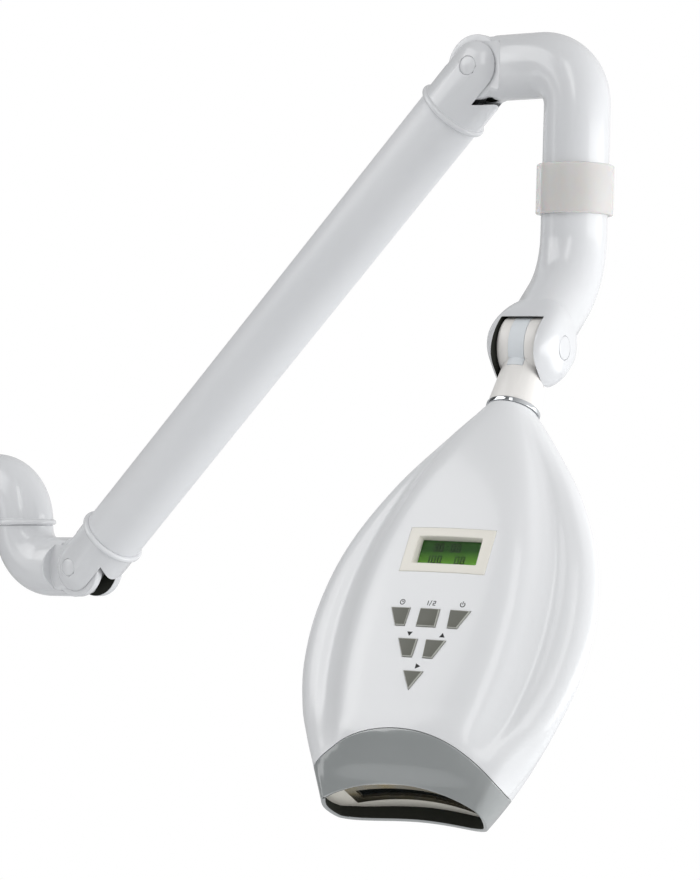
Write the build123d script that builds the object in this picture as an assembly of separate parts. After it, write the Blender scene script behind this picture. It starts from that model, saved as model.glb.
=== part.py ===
"""Teeth whitening lamp: a lamp head on a balanced parallelogram arm.

The arm hangs from a socket on the base elbow. Millimetres, +Z up, +X out along the arm,
-Y towards the person who works in front of the lamp. The origin is the centre of the
socket's mouth. Every sub-part is drawn about its own hinge and then placed in the pose
that the arm is held in at rest.
"""
import os
from math import copysign, cos, pi, radians, sin, tan

from build123d import *

os.makedirs("parts", exist_ok=True)

# Fits between pieces
press_fit = 0.02          # radial play of pieces that are pressed or clamped together
running_fit = 0.05        # radial play of a pin or spindle that turns in its bush
body_gap = 0.4            # gap between pieces that move past each other
overrun = 5.0             # how far a cutting solid runs past what it cuts

# Pose of the arm at rest, in degrees
arm_rise = 43.0
elbow_lean = 2.0          # the upper elbow droops this much, as taken up by the links' play
head_yaw = 8.0            # the fork and head are turned this much from square to the arm
head_tilt = 28.0          # the head hangs this far forward of plumb

# Arm: pivot to pivot, its tube and its two end caps
arm_length = 420.0
tube_r = 19.0
tube_wall = 2.0
cap_r = 19.5
cap_slot_w = 25.0         # slot between a cap's two cheeks
floor_gap = 3.2           # dark gap between an elbow's tongue and the slot's floor
lower_lip_x = 28.0        # from the hinge to the raised lip that the tube butts on
upper_lip_x = 32.0
lip_r = 21.4
lip_w = 3.4
spigot_l = 16.0           # part of a cap that plugs into the tube
link_channel_w = 7.0      # channel that lets the tie link through a cap
tie_channel_in = 4.6      # the channel's near and far side, from the tube's axis
tie_channel_out = 15.0
rod_channel_w = 5.6
rod_channel_in = 4.4
rod_channel_out = 13.6
cap_screw_r = 2.0         # screws that hold the tube on each spigot, from behind
cap_screw_turn = 40.0     # degrees, how far they sit above and below the tube's middle
cap_screw_l = 5.0

# Hinges of the arm
tongue_w = 24.0           # an elbow's tongue between the cheeks
tongue_r = 18.5
tongue_slot_w = 13.0      # central slot in the tongue, where the links are pinned
tongue_slot_back = 9.0    # how far the slot runs behind the hinge
shoulder_r = 22.0         # round shoulder where an elbow's full round starts
pivot_r = 4.0
bush_wall = 2.0
cover_r = 5.3             # disc that covers the end of a hinge pin
cover_t = 2.5

# Links inside the tube
tie_offset = 12.0         # tie link's pins, below the hinges
tie_height = 5.0
tie_thick = 5.0
tie_eye_r = 4.5
link_pin_r = 2.0
rod_offset = 11.0         # draw rod's pin, above the lower hinge
rod_r = 2.0
rod_eye_r = 3.8
rod_eye_t = 5.0
rod_tail = 19.0           # rod past the spring's nut
spring_l = 150.0
spring_r = 5.5
spring_wall = 1.4
spring_nut_r = 5.2
spring_nut_t = 6.0
seat_t = 2.0              # steel plate on the lower cap's spigot, which the spring pushes on

# Base elbow, with the socket for the dental unit's post
elbow_r = 18.6
socket_r = 13.0
socket_depth = 40.0
base_reach = 70.0         # socket mouth to swivel axis
base_drop = 27.0          # socket axis down to the swivel's split line
base_bend_r = 25.0
flange_r = 20.4
flange_h = 3.2
grub_r = 2.5
grub_l = 5.0
grub_pitch = 18.0
grub_first_x = 11.0

# Lower elbow
lower_reach = 56.0        # swivel axis to the lower hinge
lower_rise = 26.5         # lower hinge up to the swivel's split line
lower_bend_r = 25.5

# Swivel between base elbow and lower elbow
spindle_r = 8.0
spindle_bore_r = 3.5      # way for the lamp's lead
spindle_up = 17.0
spindle_down = 21.0
swivel_bush_l = 15.0
swivel_bush_wall = 2.5
clip_t = 1.2
clip_r = 9.8
clip_groove = 1.0

# Upper elbow, sleeve and head swivel
upper_reach = 63.0        # upper hinge to the head's swivel axis
upper_drop = 71.0         # upper hinge down to the split line inside the sleeve
upper_bend_r = 24.0
sleeve_top = 57.0         # below the upper hinge
sleeve_h = 28.0
sleeve_wall = 2.6
sleeve_clear = 0.45
head_spindle_up = 20.0
head_spindle_down = 16.0
head_bush_l = 14.0

# Fork that carries the head
fork_r = 18.6
fork_reach = 50.0         # swivel axis forward to the tilt hinge
fork_drop = 161.0         # upper hinge down to the tilt hinge
fork_slope = 50.0         # degrees, slope of the fork's lower leg from plumb
fork_bend_r = 50.0
flare_l = 36.0            # the leg swells into the cheeks over this length
flare_from_r = 17.8       # it starts inside the leg
flare_square = 1.8        # how square-shouldered it has grown at the hinge
cheek_r = 21.0
cheek_w = 42.0            # over both cheeks
cheek_round = 8.0
fork_slot_w = 25.6
hood_clear = 1.2          # between the wheel and the hood over it
hood_edge_z = 16.5        # edge of the hood, above the tilt hinge
tilt_pin_r = 5.0
fork_cap_r = 8.0
fork_cap_t = 2.0

# Knuckle between fork and head
wheel_r = 17.0
wheel_w = 24.4
wheel_round = 5.0
neck_top_r = 11.8
neck_r = 14.4
neck_start = 12.0         # below the tilt hinge
ring_drop = 41.3          # tilt hinge down to the head's top face
ring_h = 3.0
ring_r = 14.9
ring_bore_r = 9.0
inlay_w = 9.5
inlay_t = 1.4
inlay_proud = 0.25
inlay_from = -62.0        # degrees about the tilt hinge, from straight ahead
inlay_to = 48.0

# Roll spindle between knuckle and head
roll_r = 6.0
roll_up = 24.0
roll_bush_wall = 1.8
roll_bush_l = 16.0
roll_nut_r = 9.0
roll_nut_t = 4.0
roll_bore_r = 3.0

# Lamp head: stations below its top face, half widths, and depths in front and behind
head_length = 238.0
head_half_w = 80.0
head_front = 28.2
head_back = 31.0
edge_ahead = 4.2          # the widest line lies this far ahead of the middle plane
station_shares = [0.0, 0.085, 0.21, 0.36, 0.51, 0.65, 0.765, 0.84, 0.895, 0.945, 1.01]
width_shares = [0.178, 0.397, 0.682, 0.911, 1.012, 0.999, 0.910, 0.805, 0.710, 0.638, 0.540]
front_shares = [0.525, 0.720, 0.900, 0.980, 1.000, 1.000, 0.990, 0.955, 0.720, 0.440, 0.260]
back_shares = [0.478, 0.690, 0.870, 0.970, 1.000, 1.000, 0.970, 0.920, 0.840, 0.735, 0.600]
groove_shares = [0.0, 0.15, 0.70, 1.00, 1.00, 1.00, 0.80, 0.35, 0.05, 0.0, 0.0]
squareness_shares = [2.0, 2.0, 2.0, 2.0, 2.0, 2.0, 2.15, 2.35, 2.6, 2.7, 2.7]
across_shares = [0.0, 0.22, 0.42, 0.56, 0.66, 0.74, 0.84, 0.94, 1.0]
lobe_shares = [1.0, 0.985, 0.925, 0.80, 0.57, 0.425, 0.385, 0.27, 0.0]
inner_across_shares = [0.0, 0.30, 0.56, 0.74, 0.90, 1.0]
inner_lobe_shares = [1.0, 0.97, 0.80, 0.425, 0.33, 0.0]
shell_wall = 2.6
outline_count = 14        # outlines that the head's form is drawn through
outline_steps = 24        # points that the fork's sections are drawn through
neck_solid = 15.0         # the neck is solid this far down from the top face
parting_y = 4.0           # the shells part this far behind the head's middle plane

# Nozzle: the grey mouthpiece shroud
seam_t = 197.6            # crown of the seam, below the head's top face
seam_sag = 22.0           # how much lower the seam lies at the sides
seam_half_w = 56.0
mouth_t = 225.0           # middle of the mouth, below the head's top face
mouth_sag = 8.3
mouth_half_w = 46.5
mouth_slope = 9.6         # degrees, the rear lip reaches lower than the front one

# Light engine
deck_t = 220.2            # crown of the deck's arched underside, below the head's top face
deck_thick = 3.4
window_w = 64.5
window_d = 14.0
window_thick = 2.0
window_inset = 0.8        # the window's face above the underside of its frame
frame_border = 2.5
frame_thick = 5.0
window_y = 2.4            # the window sits this far behind the middle plane
reflector_h = 12.0
reflector_wall = 1.2
reflector_top_w = 56.0
reflector_top_d = 7.5
led_board_w = 64.0
led_board_d = 20.0
led_board_t = 1.6
led_count = 6
led_r = 3.0
led_base_t = 1.5
led_dome_share = 0.8      # radius of an emitter's dome over that of its base
led_pitch = 9.0
sink_w = 62.0
sink_d = 20.0
sink_h = 26.0
sink_base = 5.0
fin_count = 9
fin_t = 1.6

# Cooling fan behind the back vents
fan_t = 96.0              # centre, below the head's top face
fan_size = 40.0
fan_depth = 10.0
fan_bore_r = 18.6
fan_hub_r = 8.0
fan_blade_r = 17.6
fan_blade_t = 1.2
fan_blade_pitch = 35.0    # degrees
fan_blades = 7
fan_axle_r = 1.5
fan_front_y = 12.5
fan_hole_x = 16.0         # from the fan's middle to its four corner holes, both ways
fan_hole_r = 1.6
fan_post_r = 2.4
strut_w = 2.4
strut_t = 1.6
vent_count = 7
vent_w = 26.0
vent_h = 2.6
vent_pitch = 5.4

# Control board, display and keys
display_t = 96.8
bezel_w = 50.0
bezel_h = 26.0
bezel_proud = 0.35
bezel_depth = 4.6
display_w = 38.0
display_h = 16.0
glass_t = 1.0
glass_recess = 3.6
module_w = 44.0
module_h = 22.0
board_w = 58.0
board_top_t = 74.0
board_bottom_t = 184.0
board_thick = 1.6
board_y = 15.0            # front face of the board, ahead of the middle plane
standoff_r = 2.6          # posts of the front shell that the board is staked to
stake_r = 1.2
stake_head_r = 2.1
stake_head_t = 0.8
key_rows_t = [131.0, 148.4, 166.3]
key_h = 10.0
key_w = 11.0
key_slant = 5.0           # how much the outer side of a slanted key leans in
key_inner_slant = 0.6
outer_key_x = 17.4
lower_key_x = 8.1
key_proud = 0.5
key_travel = 0.6
key_clear = 0.35
key_flange = 1.0
key_flange_t = 1.0
key_stem_r = 2.2
switch_w = 6.0
switch_h = 3.6
plunger_r = 1.75
plunger_h = 1.2

# Screws of the head
boss_r = 3.6
screw_r = 1.5
screw_head_r = 3.0
screw_head_t = 2.2
screw_l = 14.0
boss_t = [58.0, 184.0]
boss_x = [30.0, 42.0]

# Worked-out places
swivel_z = -base_drop
pivot_drop = base_drop + lower_rise
at_lower = Pos(base_reach + lower_reach, 0, -pivot_drop)
at_arm = at_lower * Rot(0, -arm_rise, 0)
at_upper = at_arm * Pos(arm_length, 0, 0) * Rot(0, arm_rise, 0) * Rot(0, elbow_lean, 0)
at_fork = at_upper * Pos(upper_reach, 0, 0) * Rot(0, 0, head_yaw)
at_knuckle = at_fork * Pos(0, -fork_reach, -fork_drop) * Rot(-head_tilt, 0, 0)
at_head = at_knuckle * Pos(0, 0, -ring_drop)
floor_r = tongue_r + floor_gap
bush_r = pivot_r + bush_wall
tube_inner_r = tube_r - tube_wall


def along_x(r, length, x=0.0):
    """A round bar on the X axis that starts at x."""
    return Pos(x + length / 2, 0, 0) * Rot(0, 90, 0) * Cylinder(r, length)


def across(r, width, x=0.0, z=0.0):
    """A round bar along Y, centred on the XZ plane."""
    return Pos(x, 0, z) * Rot(90, 0, 0) * Cylinder(r, width)


def sideways(r, width, y=0.0, z=0.0):
    """A round bar along X, centred on the YZ plane."""
    return Pos(0, y, z) * Rot(0, 90, 0) * Cylinder(r, width)


def upright(r, top, bottom):
    """A round bar on the Z axis from top down to bottom."""
    return Pos(0, 0, (top + bottom) / 2) * Cylinder(r, top - bottom)


def block(x0, x1, y0, y1, z0, z1):
    """A box between two corners."""
    middle = Pos((x0 + x1) / 2, (y0 + y1) / 2, (z0 + z1) / 2)
    return middle * Box(x1 - x0, y1 - y0, z1 - z0)


def bent_bar(points, bend_r, r):
    """A round bar along a bent line in the XZ or YZ plane."""
    path = FilletPolyline(*points, radius=bend_r)
    return sweep(Plane(origin=path @ 0, z_dir=path % 0) * Circle(r), path=path)


def write(name, piece, place):
    """Place a sub-part in the resting pose and write it."""
    export_step(place * piece, f"parts/{name}.step")


# Base elbow and its swivel spindle

def base_elbow():
    end = swivel_z + flange_h / 2
    bar = bent_bar([(0, 0, 0), (base_reach, 0, 0), (base_reach, 0, end)], base_bend_r, elbow_r)
    at_axis = Pos(base_reach, 0, 0)
    flange = at_axis * upright(flange_r, swivel_z + flange_h, swivel_z)
    flange = fillet(flange.edges().filter_by(GeomType.CIRCLE), radius=flange_h * 0.45)
    elbow = bar + flange
    elbow -= along_x(socket_r, socket_depth + overrun, -overrun)
    elbow -= at_axis * upright(spindle_r + press_fit, swivel_z + spindle_up, swivel_z - overrun)
    for i in range(2):
        x = grub_first_x + i * grub_pitch
        elbow -= Pos(x, 0, 0) * upright(grub_r + press_fit, 0, -elbow_r - overrun)
    return elbow


def socket_screws():
    key = extrude(RegularPolygon(grub_r * 0.55, 6), grub_l / 2)
    screw = upright(grub_r, 0, -grub_l) - Pos(0, 0, -grub_l) * key
    top = -socket_r - body_gap
    return [Pos(grub_first_x + i * grub_pitch, 0, top) * screw for i in range(2)]


def turned_spindle(r, up, down, groove_z):
    """A hollow spindle about the split line, with a clip's groove near its lower end."""
    spindle = upright(r, up, -down) - upright(spindle_bore_r, up + overrun, -down - overrun)
    ring = upright(r + overrun, groove_z, groove_z - clip_t) - upright(r - clip_groove, up, -down - overrun)
    return spindle - ring


def spindle_clip(r, groove_z):
    """Spring clip with its open gap to one side."""
    ring = upright(clip_r, groove_z, groove_z - clip_t)
    ring -= upright(r - clip_groove + press_fit, groove_z + overrun, groove_z - overrun)
    gap = block(0, clip_r + overrun, -r / 2, r / 2, groove_z - overrun, groove_z + overrun)
    return ring - gap


def bush(inner_r, wall, length, top):
    """A plain bush whose top face lies at top."""
    return upright(inner_r + running_fit + wall, top, top - length) - upright(
        inner_r + running_fit, top + overrun, top - length - overrun
    )


# Hinge tongues of the two elbows

def tongue(body, leg, facing):
    """Cut a hinge tongue on an elbow whose leg ends at the hinge."""
    knuckle = body + leg + across(tongue_r, tongue_w)
    relief = across(shoulder_r, elbow_r * 4) - across(shoulder_r + overrun, tongue_w)
    knuckle -= relief
    half = tongue_slot_w / 2
    slot = block(-tongue_slot_back, tongue_r + overrun, -half, half, -shoulder_r, shoulder_r)
    slot = slot & across(tongue_r + overrun, tongue_slot_w)
    knuckle -= slot if facing > 0 else mirror(slot, about=Plane.YZ)
    return knuckle - across(bush_r + press_fit, tongue_w + overrun)


def pivot_bushes():
    """Two bushes, one in each wall of the tongue."""
    wall = (tongue_w - tongue_slot_w) / 2
    one = across(bush_r, wall) - across(pivot_r + running_fit, wall + overrun)
    y = (tongue_w - wall) / 2
    return [Pos(0, y, 0) * one, Pos(0, -y, 0) * one]


def lower_elbow():
    top = lower_rise - body_gap
    bar = bent_bar(
        [(-lower_reach, 0, top), (-lower_reach, 0, 0), (-shoulder_r / 2, 0, 0)], lower_bend_r, elbow_r
    )
    elbow = tongue(bar, along_x(elbow_r, shoulder_r, -shoulder_r), 1)
    at_axis = Pos(-lower_reach, 0, 0)
    elbow -= at_axis * upright(
        spindle_r + running_fit + swivel_bush_wall + press_fit, top + overrun, top - spindle_down
    )
    for z in (-tie_offset, rod_offset):
        elbow -= across(link_pin_r + press_fit, tongue_w + overrun, 0, z)
    return elbow


def link_pin(x, z):
    """Cross pin that a link turns on, held in the tongue's walls."""
    return across(link_pin_r, tongue_w - body_gap, x, z)


# Arm tube, end caps and pins

def arm_tube():
    start = lower_lip_x + lip_w / 2
    length = arm_length - upper_lip_x - lip_w / 2 - start
    tube = along_x(tube_r, length, start) - along_x(tube_inner_r, length + overrun * 2, start - overrun)
    for x in (start + spigot_l / 2, start + length - spigot_l / 2):
        for turn in (-cap_screw_turn, cap_screw_turn):
            tube -= Rot(turn, 0, 0) * Pos(x, tube_r, 0) * cap_screw_bar(cap_screw_r + press_fit)
    return tube


def cap_screw_bar(r):
    """A round bar along Y that reaches as far into the arm as a cap screw does."""
    return Rot(90, 0, 0) * Cylinder(r, cap_screw_l * 2)


def end_cap(lip_x, with_rod):
    """A cap with two cheeks about the hinge, a lip, and a spigot for the tube."""
    cap = along_x(cap_r, lip_x) + Sphere(cap_r)
    lip = along_x(lip_r, lip_w, lip_x - lip_w / 2)
    lip = fillet(lip.edges().filter_by(GeomType.CIRCLE), radius=lip_w * 0.46)
    cap += lip + along_x(tube_inner_r - press_fit, spigot_l + lip_w / 2, lip_x)
    cap -= block(-cap_r - overrun, 0, -cap_slot_w / 2, cap_slot_w / 2, -cap_r - overrun, cap_r + overrun)
    cap -= across(floor_r, cap_slot_w)
    end = lip_x + lip_w / 2 + spigot_l + overrun
    half = link_channel_w / 2
    cap -= block(0, end, -half, half, -tie_channel_out, -tie_channel_in)
    if with_rod:
        half = rod_channel_w / 2
        cap -= block(0, end, -half, half, rod_channel_in, rod_channel_out)
    cap -= across(pivot_r + press_fit, cap_r * 2)
    seats = across(cover_r + press_fit, cap_r * 2 + overrun) - across(cover_r + overrun, pin_length())
    cap -= seats
    x = lip_x + lip_w / 2 + spigot_l / 2
    for turn in (-cap_screw_turn, cap_screw_turn):
        cap -= Rot(turn, 0, 0) * Pos(x, tube_r, 0) * cap_screw_bar(cap_screw_r + press_fit)
    return cap


def pin_length():
    return (cap_r - cover_t) * 2


def hinge_pin():
    pin = across(pivot_r, pin_length())
    return chamfer(pin.edges().filter_by(GeomType.CIRCLE), length=pivot_r / 8)


def pin_covers():
    """Domed discs over the ends of both hinge pins, flush with the round of the caps."""
    disc = across(cover_r, cap_r * 2 + overrun) - across(cover_r + overrun, pin_length())
    pair = disc & Sphere(cap_r)
    return pair.solids() + (Pos(arm_length, 0, 0) * pair).solids()


def cap_screws():
    """Four screws through the tube into the spigots, two at each end."""
    screw = Rot(90, 0, 0) * Cylinder(cap_screw_r, cap_screw_l)
    screw -= Pos(0, cap_screw_l / 2, 0) * Box(cap_screw_r * 2, cap_screw_r / 2, cap_screw_r / 3)
    in_from_lip = (lip_w + spigot_l) / 2
    screws = []
    for x in (lower_lip_x + in_from_lip, arm_length - upper_lip_x - in_from_lip):
        for turn in (-cap_screw_turn, cap_screw_turn):
            screws.append(Rot(turn, 0, 0) * Pos(x, tube_r - cap_screw_l / 2, 0) * screw)
    return screws


def spring_seat():
    """Steel plate on the spigot's end, with a long hole for the draw rod."""
    x = lower_lip_x + lip_w / 2 + spigot_l
    plate = along_x(tube_inner_r - running_fit, seat_t, x)
    end = x + seat_t + overrun
    half = rod_channel_w / 2
    plate -= block(x - overrun, end, -half, half, rod_channel_in, rod_channel_out)
    half = link_channel_w / 2
    return plate - block(x - overrun, end, -half, half, -tie_channel_out, -tie_channel_in)


# Links

def tie_link():
    """Flat link with an eye at each end, parallel to the arm."""
    bar = block(0, arm_length, -tie_thick / 2, tie_thick / 2, -tie_height / 2, tie_height / 2)
    for x in (0, arm_length):
        bar += across(tie_eye_r, tie_thick, x)
    for x in (0, arm_length):
        bar -= across(link_pin_r + running_fit, tie_thick + overrun, x)
    return bar


def draw_rod():
    """Rod with an eye at the lower hinge, which the balance spring pulls on."""
    length = spring_start() + spring_l + spring_nut_t + rod_tail
    rod = across(rod_eye_r, rod_eye_t) + along_x(rod_r, length)
    return rod - across(link_pin_r + running_fit, rod_eye_t + overrun)


def spring_start():
    """Where the spring's near end lies, along the rod from its eye."""
    seat = lower_lip_x + lip_w / 2 + spigot_l + seat_t
    return seat - rod_offset * sin(radians(arm_rise)) + body_gap


def balance_spring():
    x = spring_start()
    inside = along_x(spring_r - spring_wall, spring_l + overrun * 2, x - overrun)
    return along_x(spring_r, spring_l, x) - inside


def spring_nut():
    x = spring_start() + spring_l
    hexagon = Pos(x, 0, 0) * Rot(0, 90, 0) * extrude(RegularPolygon(spring_nut_r, 6), spring_nut_t)
    return hexagon - along_x(rod_r + press_fit, spring_nut_t + overrun * 2, x - overrun)


# Upper elbow with its sleeve

def upper_elbow():
    bar = bent_bar(
        [(shoulder_r / 2, 0, 0), (upper_reach, 0, 0), (upper_reach, 0, -upper_drop)], upper_bend_r, elbow_r
    )
    elbow = tongue(bar, along_x(elbow_r, shoulder_r), -1)
    at_axis = Pos(upper_reach, 0, 0)
    bore = spindle_r + running_fit + swivel_bush_wall + press_fit
    elbow -= at_axis * upright(bore, -upper_drop + head_spindle_up + clip_t, -upper_drop - overrun)
    elbow -= across(link_pin_r + press_fit, tongue_w + overrun, *tie_pin_place())
    return elbow


def tie_pin_place():
    """X and Z of the tie link's upper pin in the leaning elbow's frame."""
    lean = radians(elbow_lean)
    return tie_offset * sin(lean), -tie_offset * cos(lean)


def swivel_sleeve():
    """Soft translucent sleeve over the joint between elbow and fork."""
    inner = elbow_r + sleeve_clear
    top = -sleeve_top
    bottom = top - sleeve_h
    sleeve = upright(inner + sleeve_wall, top, bottom)
    sleeve = chamfer(sleeve.edges().filter_by(GeomType.CIRCLE), length=sleeve_wall / 6)
    return Pos(upper_reach, 0, 0) * (sleeve - upright(inner, top + overrun, bottom - overrun))


# Fork

def fork():
    knee_z = -fork_drop + fork_reach / tan(radians(fork_slope))
    top = -upper_drop - body_gap
    tube = bent_bar([(0, 0, top), (0, 0, knee_z), (0, -fork_reach, -fork_drop)], fork_bend_r, fork_r)
    hub = sideways(cheek_r, cheek_w)
    hub = fillet(hub.edges().filter_by(GeomType.CIRCLE), radius=cheek_round)
    at_hinge = Pos(0, -fork_reach, -fork_drop)
    body = tube + at_hinge * (hub + Rot(-fork_slope, 0, 0) * flare())
    half = fork_slot_w / 2
    reach = cheek_r + overrun * 2
    slot = sideways(wheel_r + hood_clear, fork_slot_w)
    slot += block(-half, half, -reach, 0, -reach, hood_edge_z)
    slot += block(-half, half, -reach, reach, -reach, 0)
    slot += sideways(tilt_pin_r + press_fit, cheek_w + overrun)
    seat = sideways(fork_cap_r + press_fit, cheek_w + overrun)
    seat -= sideways(fork_cap_r + overrun, tilt_pin_length())
    body -= at_hinge * (slot + seat)
    return body - upright(spindle_r + press_fit, top + overrun, top - head_spindle_down)


def flare():
    """The leg's lower end, which swells from a round into the cheeks' square shoulders."""
    last = 4
    sections = []
    for i in range(last + 1):
        share = i / last
        half_w = flare_from_r + (cheek_w / 2 - flare_from_r) * share
        half_h = flare_from_r + (cheek_r - cheek_round / 4 - flare_from_r) * share
        power = 1 / (1 + flare_square / 2 * share)
        ring = []
        for step in range(outline_steps):
            c, s = cos(2 * pi * step / outline_steps), sin(2 * pi * step / outline_steps)
            ring.append(Vector(copysign(abs(c) ** power, c) * half_w, copysign(abs(s) ** power, s) * half_h))
        section = make_face(Spline(*ring, periodic=True))
        sections.append(Pos(0, 0, flare_l * (1 - share)) * section)
    return loft(sections)


def tilt_pin_length():
    return cheek_w - fork_cap_t * 2


def tilt_pin():
    pin = sideways(tilt_pin_r, tilt_pin_length())
    return chamfer(pin.edges().filter_by(GeomType.CIRCLE), length=tilt_pin_r / 10)


def fork_caps():
    """Two round caps over the ends of the tilt pin."""
    y = (cheek_w - fork_cap_t) / 2
    cap = Rot(0, 90, 0) * Cylinder(fork_cap_r, fork_cap_t)
    outer = cap.edges().filter_by(GeomType.CIRCLE).sort_by(Axis.X)[-1]
    cap = fillet(outer, radius=fork_cap_t / 3)
    return [Pos(y, 0, 0) * cap, mirror(Pos(y, 0, 0) * cap, about=Plane.YZ)]


# Knuckle and chrome ring

def knuckle():
    wheel = sideways(wheel_r, wheel_w)
    wheel = fillet(wheel.edges().filter_by(GeomType.CIRCLE), radius=wheel_round)
    top = -neck_start
    bottom = -ring_drop + ring_h
    neck = Pos(0, 0, (top + bottom) / 2) * Cone(neck_r, neck_top_r, top - bottom)
    body = wheel + neck - inlay(press_fit)
    body -= sideways(tilt_pin_r + running_fit + bush_wall + press_fit, wheel_w + overrun)
    bore = roll_r + running_fit + roll_bush_wall + press_fit
    return body - upright(bore, -ring_drop + roll_up, bottom - overrun)


def inlay(grow=0.0):
    """Soft strip let into the wheel's rim, from under the hood round to the neck."""
    span = inlay_to - inlay_from
    width = inlay_w + grow * 2
    inner = wheel_r - inlay_t - grow
    middle = (inlay_from + inlay_to) / 2
    outer = wheel_r + inlay_proud
    spread = tan(radians(span / 2)) * outer * 2
    far = outer * 2
    wedge = Polyline((0, 0), (-far, -spread), (-far, spread), close=True)
    wedge = extrude(Plane.YZ * Rot(0, 0, middle) * make_face(wedge), width / 2, both=True)
    return (sideways(outer, width) - sideways(inner, width + overrun)) & wedge


def knuckle_bush():
    r = tilt_pin_r + running_fit
    return sideways(r + bush_wall, wheel_w) - sideways(r, wheel_w + overrun)


def roll_bush():
    return bush(roll_r, roll_bush_wall, roll_bush_l, -ring_drop + ring_h + roll_bush_l)


def chrome_ring():
    ring = upright(ring_r, -ring_drop + ring_h, -ring_drop + body_gap)
    ring = fillet(ring.edges().filter_by(GeomType.CIRCLE), radius=ring_h / 6)
    return ring - upright(ring_bore_r, 0, -ring_drop - overrun)


# Lamp head

def share_at(table, share):
    """Read a table of shares between its stations, along a smooth curve."""
    last = len(station_shares) - 1
    i = max(j for j in range(last) if station_shares[j] <= share or j == 0)

    def slope(j):
        low, high = max(j - 1, 0), min(j + 1, last)
        return (table[high] - table[low]) / (station_shares[high] - station_shares[low])

    span = station_shares[i + 1] - station_shares[i]
    u = min((share - station_shares[i]) / span, 1.0)
    rise = table[i + 1] - table[i]
    start, end = slope(i) * span, slope(i + 1) * span
    return table[i] + u * start + u * u * (3 * rise - 2 * start - end) + u**3 * (start + end - 2 * rise)


def head_outline(share, wall, across_table, lobe_table):
    """Closed outline of the head at a share of its length, a wall inside the skin."""
    half_w = head_half_w * share_at(width_shares, share) - wall
    front = head_front * share_at(front_shares, share) - wall
    back = head_back * share_at(back_shares, share) - wall
    groove = share_at(groove_shares, share)
    power = share_at(squareness_shares, share)
    quarter = []
    for x, lobe in zip(across_table, lobe_table):
        plain = (1 - x**power) ** (1 / power)
        quarter.append((x * half_w, plain + groove * (lobe - plain)))
    edge = edge_ahead * groove
    ahead, behind = front - edge, back + edge
    right_front = [(x, -ahead * y - edge) for x, y in quarter]
    right_back = [(x, behind * y - edge) for x, y in reversed(quarter[:-1])]
    left_back = [(-x, behind * y - edge) for x, y in quarter[1:]]
    left_front = [(-x, -ahead * y - edge) for x, y in reversed(quarter[1:-1])]
    ring = right_front + right_back + left_back + left_front
    z = -head_length * share
    return make_face(Spline(*[Vector(x, y, z) for x, y in ring], periodic=True))


def head_form(wall, start_share, across_table, lobe_table):
    """The head's form a wall inside its skin, through evenly spaced outlines."""
    step = (station_shares[-1] - start_share) / (outline_count - 1)
    shares = [start_share + i * step for i in range(outline_count)]
    return loft([head_outline(s, wall, across_table, lobe_table) for s in shares])


def head_skin():
    return head_form(0.0, 0.0, across_shares, lobe_shares)


def head_hollow():
    return head_form(shell_wall, neck_solid / head_length, inner_across_shares, inner_lobe_shares)


def nozzle_side():
    """Round cutter: everything inside it belongs to the nozzle."""
    r = (seam_half_w**2 + seam_sag**2) / (2 * seam_sag)
    return across(r, head_half_w * 4, 0, -seam_t - r)


def mouth_bar():
    """Round bar across the head, as round as the nozzle's mouth, with its crown at the origin."""
    r = (mouth_half_w**2 + mouth_sag**2) / (2 * mouth_sag)
    return across(r, head_half_w * 4, 0, -r)


def beyond_mouth():
    """Round cutter that takes off what lies past the nozzle's mouth."""
    return Pos(0, 0, -mouth_t) * Rot(-mouth_slope, 0, 0) * mouth_bar()


def boss_places():
    return [(side * x, -t) for x, t in zip(boss_x, boss_t) for side in (-1, 1)]


def key_outline(kind):
    """Corners of a key, about the middle of its top edge."""
    half = key_w / 2
    if kind == "square":
        return [(-half, 0), (half, 0), (half, -key_h), (-half, -key_h)]
    if kind == "tip":
        return [(-half, 0), (half, 0), (0, -key_h)]
    return [(-half, 0), (half, 0), (half - key_inner_slant, -key_h), (key_slant - half, -key_h)]


def key_places():
    """Name, outline, centre x, top edge and whether the outline is mirrored."""
    top, middle, low = key_rows_t
    return [
        ("timer_key", "slanted", -outer_key_x, top, False),
        ("mode_key", "square", 0.0, top, False),
        ("power_key", "slanted", outer_key_x, top, True),
        ("down_key", "slanted", -lower_key_x, middle, False),
        ("up_key", "slanted", lower_key_x, middle, True),
        ("start_key", "tip", 0.0, low, False),
    ]


def key_face(kind, x, t, flipped, grow):
    """A key's outline on the XZ plane, grown all round."""
    corners = key_outline(kind)
    if flipped:
        corners = [(-a, b) for a, b in corners]
    face = make_face(Polyline(*corners, close=True))
    if grow:
        face = offset(face, amount=grow, kind=Kind.INTERSECTION)
    return Plane.XZ * Pos(x, -t, 0) * face


def key_prism(kind, x, t, flipped, grow, front, back):
    """A key's outline run from front to back, both measured ahead of the middle plane."""
    face = Pos(0, -back, 0) * key_face(kind, x, t, flipped, grow)
    return extrude(face, front - back, dir=(0, -1, 0))


def key(kind, x, t, flipped, skin):
    """A key cap just proud of the skin, with a flange inside and a stem to its switch."""
    inside = head_front - shell_wall - body_gap - key_travel
    front = head_front + overrun
    cap = key_prism(kind, x, t, flipped, 0, front, inside - key_flange_t)
    cap = cap & (Pos(0, -key_proud, 0) * skin)
    flange = key_prism(kind, x, t, flipped, key_flange, inside, inside - key_flange_t)
    middle = t + key_h * (0.35 if kind == "tip" else 0.5)
    stem_end = board_y + switch_h + plunger_h + key_travel + body_gap
    stem = Pos(x, -(inside + stem_end) / 2, -middle) * Rot(90, 0, 0)
    return cap + flange + stem * Cylinder(key_stem_r, inside - stem_end)


def post(r, x, z, front_y, back_y):
    """A round post from front to back at one place of the head."""
    return Pos(x, (front_y + back_y) / 2, z) * Rot(90, 0, 0) * Cylinder(r, back_y - front_y)


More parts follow.
